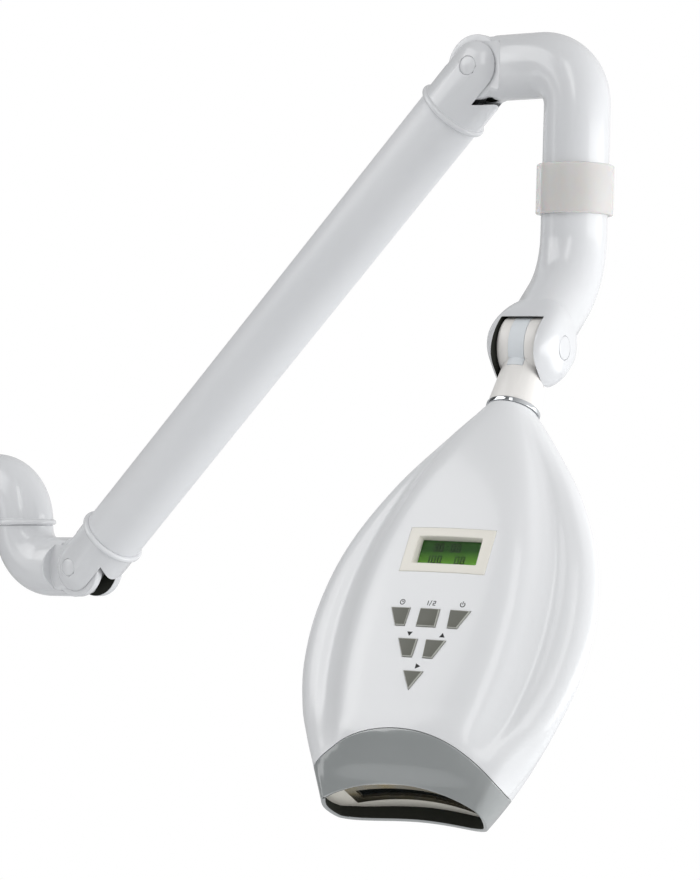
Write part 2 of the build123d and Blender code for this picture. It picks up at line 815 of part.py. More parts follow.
def front_shell(skin, hollow):
    far = head_half_w * 2
    half = block(-far, far, -far, parting_y, -head_length * 2, 0)
    room = hollow
    for x, z in boss_places():
        room -= post(boss_r, x, z, -head_front, parting_y + overrun)
    for x, z in stake_places():
        room -= post(standoff_r, x, z, -head_front, -board_y)
    shell = (skin & half) - room - nozzle_side()
    for x, z in boss_places():
        shell -= post(screw_r + press_fit, x, z, parting_y - screw_l, parting_y + overrun)
    for x, z in stake_places():
        back = board_thick - board_y
        shell += post(stake_r, x, z, -board_y - stake_r, back + stake_head_t)
        shell += post(stake_head_r, x, z, back, back + stake_head_t)
    grow = key_clear * 2
    shell -= Pos(0, -head_front, -display_t) * Box(bezel_w + grow, head_front, bezel_h + grow)
    for name, kind, x, t, flipped in key_places():
        shell -= key_prism(kind, x, t, flipped, key_clear, head_front + overrun, board_y + switch_h)
    return shell - upright(roll_r + press_fit, overrun, -neck_solid - overrun)


def vents():
    """Slots in the back shell, over the fan."""
    first = fan_t - vent_pitch * (vent_count - 1) / 2
    cuts = []
    for i in range(vent_count):
        z = -first - i * vent_pitch
        slot = Plane.XZ * Pos(0, z, 0) * SlotOverall(vent_w, vent_h)
        cuts.append(Pos(0, parting_y + overrun, 0) * extrude(slot, head_back + overrun, dir=(0, 1, 0)))
    return cuts


def back_shell(skin, hollow):
    far = head_half_w * 2
    half = block(-far, far, parting_y, far, -head_length * 2, 0)
    back = fan_front_y + fan_depth
    room = hollow
    for x, z in boss_places():
        room -= post(boss_r, x, z, parting_y - overrun, head_back)
    for x, z in fan_holes():
        room -= post(fan_post_r, x, z - fan_t, back, head_back)
    shell = (skin & half) - room - nozzle_side()
    for x, z in boss_places():
        shell -= post(screw_r + running_fit, x, z, parting_y - overrun, head_back)
        shell -= post(screw_head_r + key_clear, x, z, screw_seat_y(), head_back + overrun)
    for cut in vents():
        shell -= cut
    for x, z in fan_holes():
        pin_end = fan_front_y + fan_depth / 2
        shell += post(fan_hole_r - press_fit, x, z - fan_t, pin_end, back + fan_post_r / 2)
    return shell - upright(roll_r + press_fit, overrun, -neck_solid - overrun)


def screw_seat_y():
    """Where the screws' heads bear, behind the parting plane."""
    return parting_y + screw_head_t


def shell_screws():
    """Four screws from behind, deep in the back shell's posts."""
    screws = []
    shaft = Rot(90, 0, 0) * Cylinder(screw_r, screw_l)
    head = Rot(90, 0, 0) * Cylinder(screw_head_r, screw_head_t)
    recess = Box(screw_head_r, screw_head_t, screw_r / 2) + Box(screw_r / 2, screw_head_t, screw_head_r)
    for x, z in boss_places():
        y = screw_seat_y()
        screw = Pos(0, y - screw_l / 2, 0) * shaft + Pos(0, y + screw_head_t / 2, 0) * head
        screw -= Pos(0, y + screw_head_t, 0) * recess
        screws.append(Pos(x, 0, z) * screw)
    return screws


def roll_spindle():
    spindle = upright(roll_r, roll_up - running_fit, -neck_solid - roll_nut_t)
    return spindle - upright(roll_bore_r, roll_up + overrun, -neck_solid - roll_nut_t - overrun)


def roll_nut():
    nut = extrude(RegularPolygon(roll_nut_r, 6), roll_nut_t - running_fit)
    nut = Pos(0, 0, -neck_solid - roll_nut_t) * nut
    return nut - upright(roll_r + press_fit, 0, -neck_solid - overrun * 2)


def nozzle(skin, hollow):
    return (skin & nozzle_side()) - hollow - beyond_mouth()


# Light engine, from the arched window up to the heat sink

def window_box(grow):
    """Upright column on the window's outline, grown all round."""
    return Pos(0, window_y, -deck_t) * Box(window_w + grow * 2, window_d + grow * 2, head_back * 2)


def window_plate(grow):
    """Arched plate that follows the round of the mouth."""
    low = -deck_t + window_inset - grow
    plate = window_box(grow - frame_border / 2) & (Pos(0, 0, low + window_thick + grow * 2) * mouth_bar())
    return plate - Pos(0, 0, low) * mouth_bar()


def frame_top():
    return -deck_t + frame_thick


def window_frame():
    """Metal frame round the window, with the opening that the light leaves through."""
    far = window_w
    frame = window_box(frame_border) & block(-far, far, -far, far, -head_length, frame_top())
    frame -= Pos(0, 0, -deck_t) * mouth_bar() + window_box(-frame_border)
    return frame - window_plate(press_fit)


def mouth_deck():
    """Arched plate that closes the nozzle round the window's frame."""
    start = neck_solid / head_length
    room = head_form(shell_wall + press_fit, start, inner_across_shares, inner_lobe_shares)
    far = head_half_w
    deck = room & block(-far, far, -far, far, -head_length, -deck_t + deck_thick)
    return deck - Pos(0, 0, -deck_t) * mouth_bar() - window_box(frame_border + press_fit)


def reflector():
    """Tapering trough that carries the light from the emitters to the window."""
    bottom = frame_top()
    w = window_w - frame_border * 2
    d = window_d - frame_border * 2
    grow = reflector_wall * 2
    low = Pos(0, window_y, bottom)
    high = Pos(0, window_y, bottom + reflector_h)
    top_w, top_d = reflector_top_w, reflector_top_d
    outer = loft([low * Rectangle(w + grow, d + grow), high * Rectangle(top_w + grow, top_d + grow)])
    return outer - loft([low * Rectangle(w, d), high * Rectangle(top_w, top_d)])


def led_board_z():
    return frame_top() + reflector_h


def led_board():
    at = Pos(0, window_y, led_board_z() + led_board_t / 2)
    return at * Box(led_board_w, led_board_d, led_board_t)


def led_emitters():
    """A row of domed emitters under the board."""
    first = -led_pitch * (led_count - 1) / 2
    dome = Pos(0, 0, -led_base_t) * Sphere(led_r * led_dome_share) - upright(led_r, led_r, -led_base_t)
    emitter = upright(led_r, 0, -led_base_t) + dome
    return [Pos(first + i * led_pitch, window_y, led_board_z()) * emitter for i in range(led_count)]


def heat_sink():
    """Finned block that the emitters' board is screwed to."""
    bottom = led_board_z() + led_board_t
    sink = block(-sink_w / 2, sink_w / 2, -sink_d / 2, sink_d / 2, 0, sink_base)
    pitch = (sink_w - fin_t) / (fin_count - 1)
    for i in range(fin_count):
        x = -sink_w / 2 + i * pitch
        sink += block(x, x + fin_t, -sink_d / 2, sink_d / 2, 0, sink_h)
    return Pos(0, window_y, bottom) * sink


# Fan

def at_fan():
    return Pos(0, fan_front_y + fan_depth / 2, -fan_t)


def fan_holes():
    """X and Z of the fan's corner holes, from its middle."""
    return [(x, z) for x in (-fan_hole_x, fan_hole_x) for z in (-fan_hole_x, fan_hole_x)]


def fan_frame():
    frame = Box(fan_size, fan_depth, fan_size)
    frame = fillet(frame.edges().filter_by(Axis.Y), radius=fan_size / 12)
    frame -= across(fan_bore_r, fan_depth + overrun)
    for x, z in fan_holes():
        frame -= across(fan_hole_r, fan_depth + overrun, x, z)
    back = fan_depth / 2
    for angle in (45, 135):
        strut = Rot(0, angle, 0) * Box(fan_bore_r * 2 + strut_t, strut_t, strut_w)
        frame += Pos(0, back - strut_t / 2, 0) * strut
    motor = Pos(0, back - strut_t / 2, 0) * across(fan_hub_r, strut_t)
    axle = Pos(0, body_gap, 0) * across(fan_axle_r, fan_depth - strut_t - body_gap * 2)
    return at_fan() * (frame + motor + axle)


def fan_rotor():
    """Hub with pitched blades, open in the middle for its axle."""
    length = fan_depth - strut_t - body_gap * 2
    middle = -strut_t / 2
    rotor = Pos(0, middle, 0) * across(fan_hub_r, length)
    reach = fan_blade_r - fan_hub_r / 2
    blade = Pos((fan_blade_r + fan_hub_r / 2) / 2, middle, 0) * Rot(fan_blade_pitch, 0, 0)
    blade = blade * Box(reach, length * 0.9, fan_blade_t)
    for i in range(fan_blades):
        rotor += Rot(0, i * 360 / fan_blades, 0) * blade
    return at_fan() * (rotor - across(fan_axle_r + running_fit, fan_depth * 2))


# Display and control board

def lcd_bezel(skin):
    """Frame round the display, which follows the head's skin and stands just proud of it."""
    y = -head_front - overrun / 2 + bezel_depth / 2
    frame = Pos(0, y, -display_t) * Box(bezel_w, bezel_depth + overrun, bezel_h)
    frame = frame & (Pos(0, -bezel_proud, 0) * skin)
    return frame - Pos(0, y, -display_t) * Box(display_w, bezel_depth + overrun * 2, display_h)


def glass_front_y():
    return head_front - glass_recess


def lcd_glass():
    y = -glass_front_y() + glass_t / 2
    return Pos(0, y, -display_t) * Box(display_w - press_fit * 2, glass_t, display_h - press_fit * 2)


def lcd_module():
    """Display module between the bezel and the control board."""
    front = head_front - bezel_depth - press_fit
    y = -(front + board_y) / 2
    return Pos(0, y, -display_t) * Box(module_w, front - board_y, module_h)


def control_board():
    board = block(-board_w / 2, board_w / 2, -board_y, -board_y + board_thick, -board_bottom_t, -board_top_t)
    board = fillet(board.edges().filter_by(Axis.Y), radius=standoff_r)
    for x, z in stake_places():
        board -= post(stake_r + press_fit, x, z, -board_y - overrun, board_thick)
    return board


def stake_places():
    """X and Z of the posts that the board is staked to, near its corners."""
    inset = standoff_r * 1.6
    xs = (-board_w / 2 + inset, board_w / 2 - inset)
    zs = (-board_top_t - inset, -board_bottom_t + inset)
    return [(x, z) for x in xs for z in zs]


def key_switches():
    """Small switches on the board, one under each key."""
    switches = []
    for name, kind, x, t, flipped in key_places():
        z = -t - key_h * (0.35 if kind == "tip" else 0.5)
        body = Pos(x, -board_y - switch_h / 2, z) * Box(switch_w, switch_h, switch_w)
        nose = Pos(x, -board_y - switch_h - plunger_h / 2, z) * Rot(90, 0, 0)
        switches.append(body + nose * Cylinder(plunger_r, plunger_h))
    return switches


def group(pieces):
    return Compound(children=list(pieces))


skin = head_skin()
hollow = head_hollow()
swivel = Pos(base_reach, 0, swivel_z)
head_swivel = Pos(0, 0, -upper_drop)
swivel_groove = -body_gap - swivel_bush_l - running_fit

write("base_elbow", base_elbow(), Pos(0, 0, 0))
write("socket_screws", group(socket_screws()), Pos(0, 0, 0))
write("base_spindle", turned_spindle(spindle_r, spindle_up, spindle_down, swivel_groove), swivel)
write("base_spindle_clip", spindle_clip(spindle_r, swivel_groove), swivel)

write("lower_elbow", lower_elbow(), at_lower)
write("base_swivel_bush", bush(spindle_r, swivel_bush_wall, swivel_bush_l, -body_gap), swivel)
write("lower_hinge_bushes", group(pivot_bushes()), at_lower)
write("lower_link_pins", group([link_pin(0, -tie_offset), link_pin(0, rod_offset)]), at_lower)

write("arm_tube", arm_tube(), at_arm)
write("lower_arm_cap", end_cap(lower_lip_x, True), at_arm)
at_arm_end = at_arm * Pos(arm_length, 0, 0) * Rot(0, 180, 0)
write("upper_arm_cap", mirror(end_cap(upper_lip_x, False), about=Plane.XY), at_arm_end)
write("arm_hinge_pins", group([hinge_pin(), Pos(arm_length, 0, 0) * hinge_pin()]), at_arm)
write("pin_covers", group(pin_covers()), at_arm)
write("cap_screws", group(cap_screws()), at_arm)
write("spring_seat", spring_seat(), at_arm)

at_tie = at_lower * Pos(0, 0, -tie_offset) * Rot(0, -arm_rise, 0)
at_rod = at_lower * Pos(0, 0, rod_offset) * Rot(0, -arm_rise, 0)
write("tie_link", tie_link(), at_tie)
write("draw_rod", draw_rod(), at_rod)
write("balance_spring", balance_spring(), at_rod)
write("spring_nut", spring_nut(), at_rod)

write("upper_elbow", upper_elbow(), at_upper)
write("upper_hinge_bushes", group(pivot_bushes()), at_upper)
write("upper_link_pin", link_pin(*tie_pin_place()), at_upper)
write("swivel_sleeve", swivel_sleeve(), at_upper)
at_bush = at_upper * Pos(upper_reach, 0, -upper_drop)
write("head_swivel_bush", bush(spindle_r, swivel_bush_wall, head_bush_l, head_bush_l + body_gap), at_bush)

write("fork", fork(), at_fork)
at_upturned = at_fork * head_swivel * Rot(180, 0, 0)
head_groove = -body_gap - head_bush_l - running_fit
spindle = turned_spindle(spindle_r, head_spindle_down, head_spindle_up, head_groove)
write("head_spindle", spindle, at_upturned)
write("head_spindle_clip", spindle_clip(spindle_r, head_groove), at_upturned)
at_tilt = at_fork * Pos(0, -fork_reach, -fork_drop)
write("tilt_pin", tilt_pin(), at_tilt)
write("fork_caps", group(fork_caps()), at_tilt)

write("knuckle", knuckle(), at_knuckle)
write("knuckle_inlay", inlay(), at_knuckle)
write("knuckle_bush", knuckle_bush(), at_knuckle)
write("roll_bush", roll_bush(), at_knuckle)
write("chrome_ring", chrome_ring(), at_knuckle)

write("front_shell", front_shell(skin, hollow), at_head)
write("back_shell", back_shell(skin, hollow), at_head)
write("nozzle", nozzle(skin, hollow), at_head)
write("shell_screws", group(shell_screws()), at_head)
write("roll_spindle", roll_spindle(), at_head)
write("roll_nut", roll_nut(), at_head)
write("mouth_deck", mouth_deck(), at_head)
write("exit_window", window_plate(0.0), at_head)
write("window_frame", window_frame(), at_head)
write("reflector", reflector(), at_head)
write("led_board", led_board(), at_head)
write("led_emitters", group(led_emitters()), at_head)
write("heat_sink", heat_sink(), at_head)
write("fan_frame", fan_frame(), at_head)
write("fan_rotor", fan_rotor(), at_head)
write("lcd_bezel", lcd_bezel(skin), at_head)
write("lcd_glass", lcd_glass(), at_head)
write("lcd_module", lcd_module(), at_head)
write("control_board", control_board(), at_head)
write("key_switches", group(key_switches()), at_head)
for name, kind, x, t, flipped in key_places():
    write(name, key(kind, x, t, flipped, skin), at_head)
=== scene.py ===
"""Looks of the teeth whitening lamp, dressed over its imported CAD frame.

Everything is drawn in millimetres in the local frame of the piece that carries it, and then
placed in metres. Local frames are the ones that the solids use: the arm along +X from its
lower hinge, the lamp head down -Z from its top face with its front towards -Y.
"""

from math import copysign, cos, pi, radians, sin, sqrt, tan

import bmesh
import bpy
from mathutils import Matrix, Vector


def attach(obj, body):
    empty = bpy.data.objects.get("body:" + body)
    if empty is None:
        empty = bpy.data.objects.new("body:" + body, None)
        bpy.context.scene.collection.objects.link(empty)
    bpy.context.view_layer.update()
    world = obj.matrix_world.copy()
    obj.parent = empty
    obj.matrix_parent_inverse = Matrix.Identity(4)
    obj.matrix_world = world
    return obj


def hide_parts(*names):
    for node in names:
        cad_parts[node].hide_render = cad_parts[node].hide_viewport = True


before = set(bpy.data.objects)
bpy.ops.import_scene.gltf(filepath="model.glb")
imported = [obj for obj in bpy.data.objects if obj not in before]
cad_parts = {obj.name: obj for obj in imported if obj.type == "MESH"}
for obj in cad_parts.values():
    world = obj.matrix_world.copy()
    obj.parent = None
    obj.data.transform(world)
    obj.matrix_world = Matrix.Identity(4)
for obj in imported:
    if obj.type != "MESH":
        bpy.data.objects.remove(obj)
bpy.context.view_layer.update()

# Places of the local frames, in millimetres and degrees
ARM_RISE = 43.0
ELBOW_LEAN = 2.0
HEAD_YAW = 8.0
HEAD_TILT = 28.0
ARM_LENGTH = 420.0
BASE_REACH = 70.0
SWIVEL_Z = -27.0
LOWER_REACH = 56.0
LOWER_RISE = 26.5
UPPER_REACH = 63.0
UPPER_DROP = 71.0
FORK_REACH = 50.0
FORK_DROP = 161.0
FORK_SLOPE = 50.0
RING_DROP = 41.3


def shift(x, y, z):
    return Matrix.Translation((x, y, z))


def turn(degrees, axis):
    return Matrix.Rotation(radians(degrees), 4, axis)


AT_BASE = Matrix.Identity(4)
AT_LOWER = shift(BASE_REACH + LOWER_REACH, 0, SWIVEL_Z - LOWER_RISE)
AT_ARM = AT_LOWER @ turn(-ARM_RISE, "Y")
AT_UPPER = AT_ARM @ shift(ARM_LENGTH, 0, 0) @ turn(ARM_RISE + ELBOW_LEAN, "Y")
AT_FORK = AT_UPPER @ shift(UPPER_REACH, 0, 0) @ turn(HEAD_YAW, "Z")
AT_TILT = AT_FORK @ shift(0, -FORK_REACH, -FORK_DROP)
AT_KNUCKLE = AT_TILT @ turn(-HEAD_TILT, "X")
AT_HEAD = AT_KNUCKLE @ shift(0, 0, -RING_DROP)
TO_METRES = Matrix.Scale(0.001, 4)

ALONG_X = turn(90, "Y")       # stands a turned shape's axis along +X
ALONG_Y = turn(-90, "X")      # and along +Y
ROUND = 96                    # facets round a bar


# Finishes

def colour(code):
    """An sRGB hex value as linear red, green, blue and full alpha."""
    parts = [int(code[i:i + 2], 16) / 255 for i in (1, 3, 5)]
    return tuple(c / 12.92 if c <= 0.04045 else ((c + 0.055) / 1.055) ** 2.4 for c in parts) + (1.0,)


def node(tree, kind, settings=None, links=None):
    """Add a node, set its properties or sockets, and link other nodes' outputs to its inputs."""
    made = tree.nodes.new(kind)
    for key, value in (settings or {}).items():
        if isinstance(key, str) and hasattr(made, key):
            setattr(made, key, value)
        else:
            made.inputs[key].default_value = value
    for key, (other, output) in (links or {}).items():
        tree.links.new(other.outputs[output], made.inputs[key])
    return made


def finish(name, base, **sockets):
    """A new material with its shader set, ready for patterns on Object coordinates."""
    material = bpy.data.materials.new(name)
    material.use_nodes = True
    tree = material.node_tree
    tree.nodes.clear()
    settings = {"Base Color": colour(base)}
    settings.update({key.replace("_", " "): value for key, value in sockets.items()})
    shader = node(tree, "ShaderNodeBsdfPrincipled", settings)
    node(tree, "ShaderNodeOutputMaterial", links={"Surface": (shader, "BSDF")})
    where = node(tree, "ShaderNodeTexCoord")
    return material, tree, shader, where


def grained(made, grain_mm, depth_mm, strength, rough_low, rough_high):
    """Fine surface grain: a bump, and a slow drift of the gloss over the surface."""
    _, tree, shader, where = made
    across = {"Vector": (where, "Object")}
    fine = node(tree, "ShaderNodeTexNoise", {"Scale": 1000 / grain_mm, "Detail": 3.0}, across)
    bump = node(tree, "ShaderNodeBump", {"Strength": strength, "Distance": depth_mm / 1000},
                {"Height": (fine, "Fac")})
    tree.links.new(bump.outputs["Normal"], shader.inputs["Normal"])
    slow = node(tree, "ShaderNodeTexNoise", {"Scale": 22.0, "Detail": 2.0}, across)
    drift = node(tree, "ShaderNodeMapRange", {"To Min": rough_low, "To Max": rough_high},
                 {"Value": (slow, "Fac")})
    tree.links.new(drift.outputs["Result"], shader.inputs["Roughness"])


def tinted(made, low, high, scale=9.0):
    """A faint drift of the colour between two close tones."""
    _, tree, shader, where = made
    cloud = node(tree, "ShaderNodeTexNoise", {"Scale": scale, "Detail": 1.0}, {"Vector": (where, "Object")})
    settings = {"data_type": "RGBA", 6: colour(low), 7: colour(high)}
    mix = node(tree, "ShaderNodeMix", settings, {0: (cloud, "Fac")})
    tree.links.new(mix.outputs[2], shader.inputs["Base Color"])


def moulded_abs():
    """Glossy moulded ABS of the elbows: clean white, with long soft highlights and a trace of orange peel."""
    made = finish("gloss_moulded_abs", "#DADCDE", IOR=1.53, Coat_Weight=0.25, Coat_Roughness=0.08)
    grained(made, 8.0, 0.01, 0.06, 0.20, 0.25)
    tinted(made, "#D7D9DC", "#DDDEE0")
    return made[0]


def powder_coat():
    """Semi-gloss powder coat on the tube: a broad, softer highlight over a fine pebble."""
    made = finish("semi_gloss_powder_coat", "#DFE1E3", IOR=1.5)
    grained(made, 0.9, 0.03, 0.22, 0.34, 0.40)
    tinted(made, "#DCDEE1", "#E2E3E5")
    return made[0]


def head_lacquer():
    """Pearl-white lacquer over ABS on the lamp head: deep even gloss that shows the lamps as soft bands."""
    made = finish("pearl_white_lacquer", "#E8EAEC", IOR=1.5, Coat_Weight=0.4, Coat_Roughness=0.12)
    grained(made, 9.0, 0.01, 0.05, 0.26, 0.30)
    tinted(made, "#E7E9EB", "#EAEBED", 5.0)
    return made[0]


def grey_lacquer():
    """Grey lacquer on the nozzle: a cool mid grey with the same even gloss."""
    made = finish("grey_lacquer", "#979B9B", IOR=1.5, Coat_Weight=1.0, Coat_IOR=1.8, Coat_Roughness=0.08)
    grained(made, 8.0, 0.012, 0.06, 0.28, 0.33)
    tinted(made, "#929697", "#9DA1A1")
    return made[0]


def painted_shade_lining():
    """Painted shade: a dull olive-black inside the nozzle and the hinges' slots, where the plastic lies in
    shadow.
    """
    made = finish("olive_black_painted_shade", "#2A2C27", IOR=1.3)
    grained(made, 0.8, 0.02, 0.2, 0.75, 0.85)
    return made[0]


def frosted_silicone():
    """Frosted silicone of the sleeve: cloudy, faintly warm, it glows where light comes through its wall."""
    made = finish("frosted_silicone", "#E9E7E5", IOR=1.41, Alpha=0.55, Subsurface_Weight=0.3,
                  Subsurface_Scale=0.003)
    grained(made, 3.0, 0.02, 0.10, 0.22, 0.28)
    return made[0]


def cream_acetal():
    """Cream acetal of the knuckle: satin, a shade warmer than the ABS round it."""
    made = finish("cream_acetal", "#EDEBE8", IOR=1.48)
    grained(made, 1.4, 0.02, 0.10, 0.30, 0.36)
    return made[0]


def soft_inlay():
    """Soft-touch rubber strip: dull, pale blue grey."""
    made = finish("soft_touch_rubber", "#DFE4E8", IOR=1.52)
    grained(made, 0.7, 0.02, 0.25, 0.55, 0.62)
    return made[0]


def polished_chrome():
    """Chrome plate: a dark mirror with a hint of polishing marks."""
    made = finish("polished_chrome", "#C9CCCF", Metallic=1.0)
    grained(made, 0.8, 0.004, 0.10, 0.05, 0.09)
    return made[0]


def turned_steel():
    """Turned steel of pins, links and screws: fine tool marks give it a streaked grey sheen."""
    made = finish("turned_steel", "#A6A8AA", Metallic=1.0)
    grained(made, 0.5, 0.01, 0.25, 0.28, 0.38)
    return made[0]


def window_aluminium():
    """Bright anodised aluminium round the exit window, with a warm gold cast in streaks along it."""
    made = finish("gold_anodised_aluminium", "#8F8C80", Metallic=1.0)
    grained(made, 0.6, 0.01, 0.15, 0.22, 0.32)
    tinted(made, "#8C8D8A", "#98875A", 160.0)
    return made[0]


def machined_aluminium():
    """Extruded aluminium of the heat sink: pale, dull metal."""
    made = finish("extruded_aluminium", "#B9BBBD", Metallic=1.0)
    grained(made, 0.9, 0.02, 0.2, 0.36, 0.44)
    return made[0]


def black_abs():
    """Black spark-eroded ABS of the fan and the switches: almost no shine."""
    made = finish("black_textured_abs", "#1B1C1E", IOR=1.53)
    grained(made, 0.5, 0.03, 0.3, 0.5, 0.6)
    return made[0]


def acetal_bush():
    """Natural acetal of the bushes: waxy, off-white."""
    made = finish("natural_acetal", "#D8D4C6", IOR=1.48)
    grained(made, 0.8, 0.02, 0.15, 0.4, 0.48)
    return made[0]


def solder_mask():
    """Green solder mask over glass-fibre board: glossy, with the weave just showing."""
    made = finish("green_solder_mask", "#1E5A33", IOR=1.5)
    grained(made, 0.6, 0.03, 0.3, 0.25, 0.35)
    return made[0]


def emitter_silicone():
    """Clear silicone domes of the emitters, pale blue over their chips."""
    made = finish("emitter_silicone", "#C9D8F2", IOR=1.41, Transmission_Weight=0.4)
    grained(made, 0.8, 0.01, 0.1, 0.08, 0.14)
    return made[0]


def window_glass():
    """Dark dichroic glass of the exit window: nearly black, with a sharp reflection."""
    made = finish("dichroic_glass", "#0B0E11", IOR=1.52, Transmission_Weight=0.25, Coat_Weight=0.6,
                  Coat_Roughness=0.02)
    grained(made, 3.0, 0.004, 0.05, 0.05, 0.09)
    return made[0]


def bezel_abs():
    """Cream ABS of the display's frame: satin, a little yellower than the lacquer."""
    made = finish("cream_moulded_abs", "#EEEBE2", IOR=1.53)
    grained(made, 1.0, 0.02, 0.12, 0.32, 0.38)
    return made[0]


def deck_plastic():
    """Cream plastic of the deck in the nozzle: satin, so that it shows as a pale strip behind the window."""
    made = finish("cream_deck_plastic", "#DDDAD0", IOR=1.5)
    grained(made, 1.0, 0.02, 0.12, 0.36, 0.44)
    return made[0]


def key_rubber():
    """Grey silicone keys: satin, warm grey, slightly mottled."""
    made = finish("grey_silicone_key", "#6B6C63", IOR=1.43)
    grained(made, 0.6, 0.03, 0.3, 0.42, 0.52)
    tinted(made, "#63645C", "#71726A", 60.0)
    return made[0]


def key_side_painted_highlight():
    """Painted highlight for the keys' sides: a milky light grey that stands in for their lit walls and edges.
    """
    made = finish("key_side_painted_highlight_grey", "#B4B5AE", IOR=1.43)
    grained(made, 0.8, 0.02, 0.15, 0.35, 0.45)
    return made[0]


def printed_ink():
    """Black pad-print ink of the marks: dense and matt."""
    made = finish("black_pad_print_ink", "#101012", IOR=1.5)
    grained(made, 0.4, 0.005, 0.1, 0.5, 0.6)
    return made[0]


def display_glow():
    """Yellow-green backlit display with a fine cell grid, and painted shade: darker towards its top edge, under
    the frame.
    """
    made = finish("backlit_display_painted_shade", "#31562A", IOR=1.5, Roughness=0.5, Specular_IOR_Level=0.1,
                  Emission_Strength=0.12)
    material, tree, shader, where = made
    place = node(tree, "ShaderNodeMapping", {"Location": tuple(-c for c in DISPLAY_LOW)},
                 {"Vector": (where, "Object")})
    split = node(tree, "ShaderNodeSeparateXYZ", links={"Vector": (place, "Vector")})
    # Darker towards the top edge: painted shade where the frame shadows the display; the glow follows it too
    climb = node(tree, "ShaderNodeMapRange", {"From Max": 0.014}, {"Value": (split, "Z")})
    ramp = node(tree, "ShaderNodeValToRGB", links={"Fac": (climb, "Result")})
    for stop, (at, code) in zip(ramp.color_ramp.elements, ((0.0, "#78B543"), (0.6, "#355A2B"))):
        stop.position, stop.color = at, colour(code)
    cells = node(tree, "ShaderNodeTexNoise", {"Scale": 900.0}, {"Vector": (where, "Object")})
    tone = node(tree, "ShaderNodeMix", {"data_type": "RGBA", "blend_type": "MULTIPLY", 0: 0.15},
                {6: (ramp, "Color"), 7: (cells, "Color")})
    tree.links.new(tone.outputs[2], shader.inputs["Base Color"])
    tree.links.new(tone.outputs[2], shader.inputs["Emission Color"])
    return material


def display_pane():
    """Thin clear pane over the display: it shows as a weak reflection."""
    made = finish("clear_acrylic_pane", "#F4F8F2", IOR=1.08, Transmission_Weight=1.0)
    grained(made, 4.0, 0.002, 0.05, 0.02, 0.05)
    return made[0]


# Shapes, in millimetres

def turned(profile, steps=ROUND):
    """A closed shape from a profile of radius and height, turned about Z. Its ends may lie on the axis."""
    bm = bmesh.new()
    verts = [bm.verts.new((r, 0, z)) for r, z in profile]
    open_ended = profile[0][0] == 0 and profile[-1][0] == 0
    pairs = zip(verts, verts[1:] if open_ended else verts[1:] + verts[:1])
    edges = [bm.edges.new(pair) for pair in pairs]
    bmesh.ops.spin(bm, geom=verts + edges, cent=(0, 0, 0), axis=(0, 0, 1), angle=2 * pi, steps=steps,
                   use_merge=True)
    bmesh.ops.remove_doubles(bm, verts=bm.verts, dist=0.0005)
    bmesh.ops.recalc_face_normals(bm, faces=bm.faces)
    return bm


def rounded(corners, sizes, steps=5):
    """A profile with round corners: each corner has its own radius, none for a sharp one."""
    points = []
    count = len(corners)
    for i, (corner, size) in enumerate(zip(corners, sizes)):
        at = Vector(corner)
        if not size:
            points.append(tuple(at))
            continue
        before = (Vector(corners[i - 1]) - at).normalized()
        after = (Vector(corners[(i + 1) % count]) - at).normalized()
        half = before.angle(after) / 2
        run = size / tan(half)
        middle = at + (before + after).normalized() * (size / sin(half))
        start = at + before * run - middle
        sweep = start.angle_signed(at + after * run - middle)
        for k in range(steps + 1):
            turned_by = Matrix.Rotation(-sweep * k / steps, 2)
            points.append(tuple(middle + turned_by @ start))
    return points


def rod(radius, low, high, place=Matrix.Identity(4), segments=ROUND):
    """A plain round bar on Z between two heights, then placed."""
    bm = bmesh.new()
    bmesh.ops.create_cone(bm, cap_ends=True, segments=segments, radius1=radius, radius2=radius,
                          depth=high - low)
    bmesh.ops.translate(bm, verts=bm.verts, vec=(0, 0, (low + high) / 2))
    bm.transform(place)
    return bm


def slab(x0, x1, y0, y1, z0, z1):
    """A box between two corners."""
    bm = bmesh.new()
    bmesh.ops.create_cube(bm, size=1)
    bmesh.ops.scale(bm, verts=bm.verts, vec=(x1 - x0, y1 - y0, z1 - z0))
    bmesh.ops.translate(bm, verts=bm.verts, vec=((x0 + x1) / 2, (y0 + y1) / 2, (z0 + z1) / 2))
    return bm


def prism(outline, front, back):
    """An outline of x and z, run through in y from front to back."""
    bm = bmesh.new()
    face = bm.faces.new([bm.verts.new((x, front, z)) for x, z in outline])
    pushed = bmesh.ops.extrude_face_region(bm, geom=[face])
    moved = [v for v in pushed["geom"] if isinstance(v, bmesh.types.BMVert)]
    bmesh.ops.translate(bm, verts=moved, vec=(0, back - front, 0))
    bmesh.ops.recalc_face_normals(bm, faces=bm.faces)
    return bm


def drawn_on(bm, edges):
    """Draw a loop of edges on into a new loop, and give the new loop's points and edges."""
    pushed = bmesh.ops.extrude_edge_only(bm, edges=edges)["geom"]
    new = {v for v in pushed if isinstance(v, bmesh.types.BMVert)}
    return new, [e for e in pushed if isinstance(e, bmesh.types.BMEdge) and all(v in new for v in e.verts)]


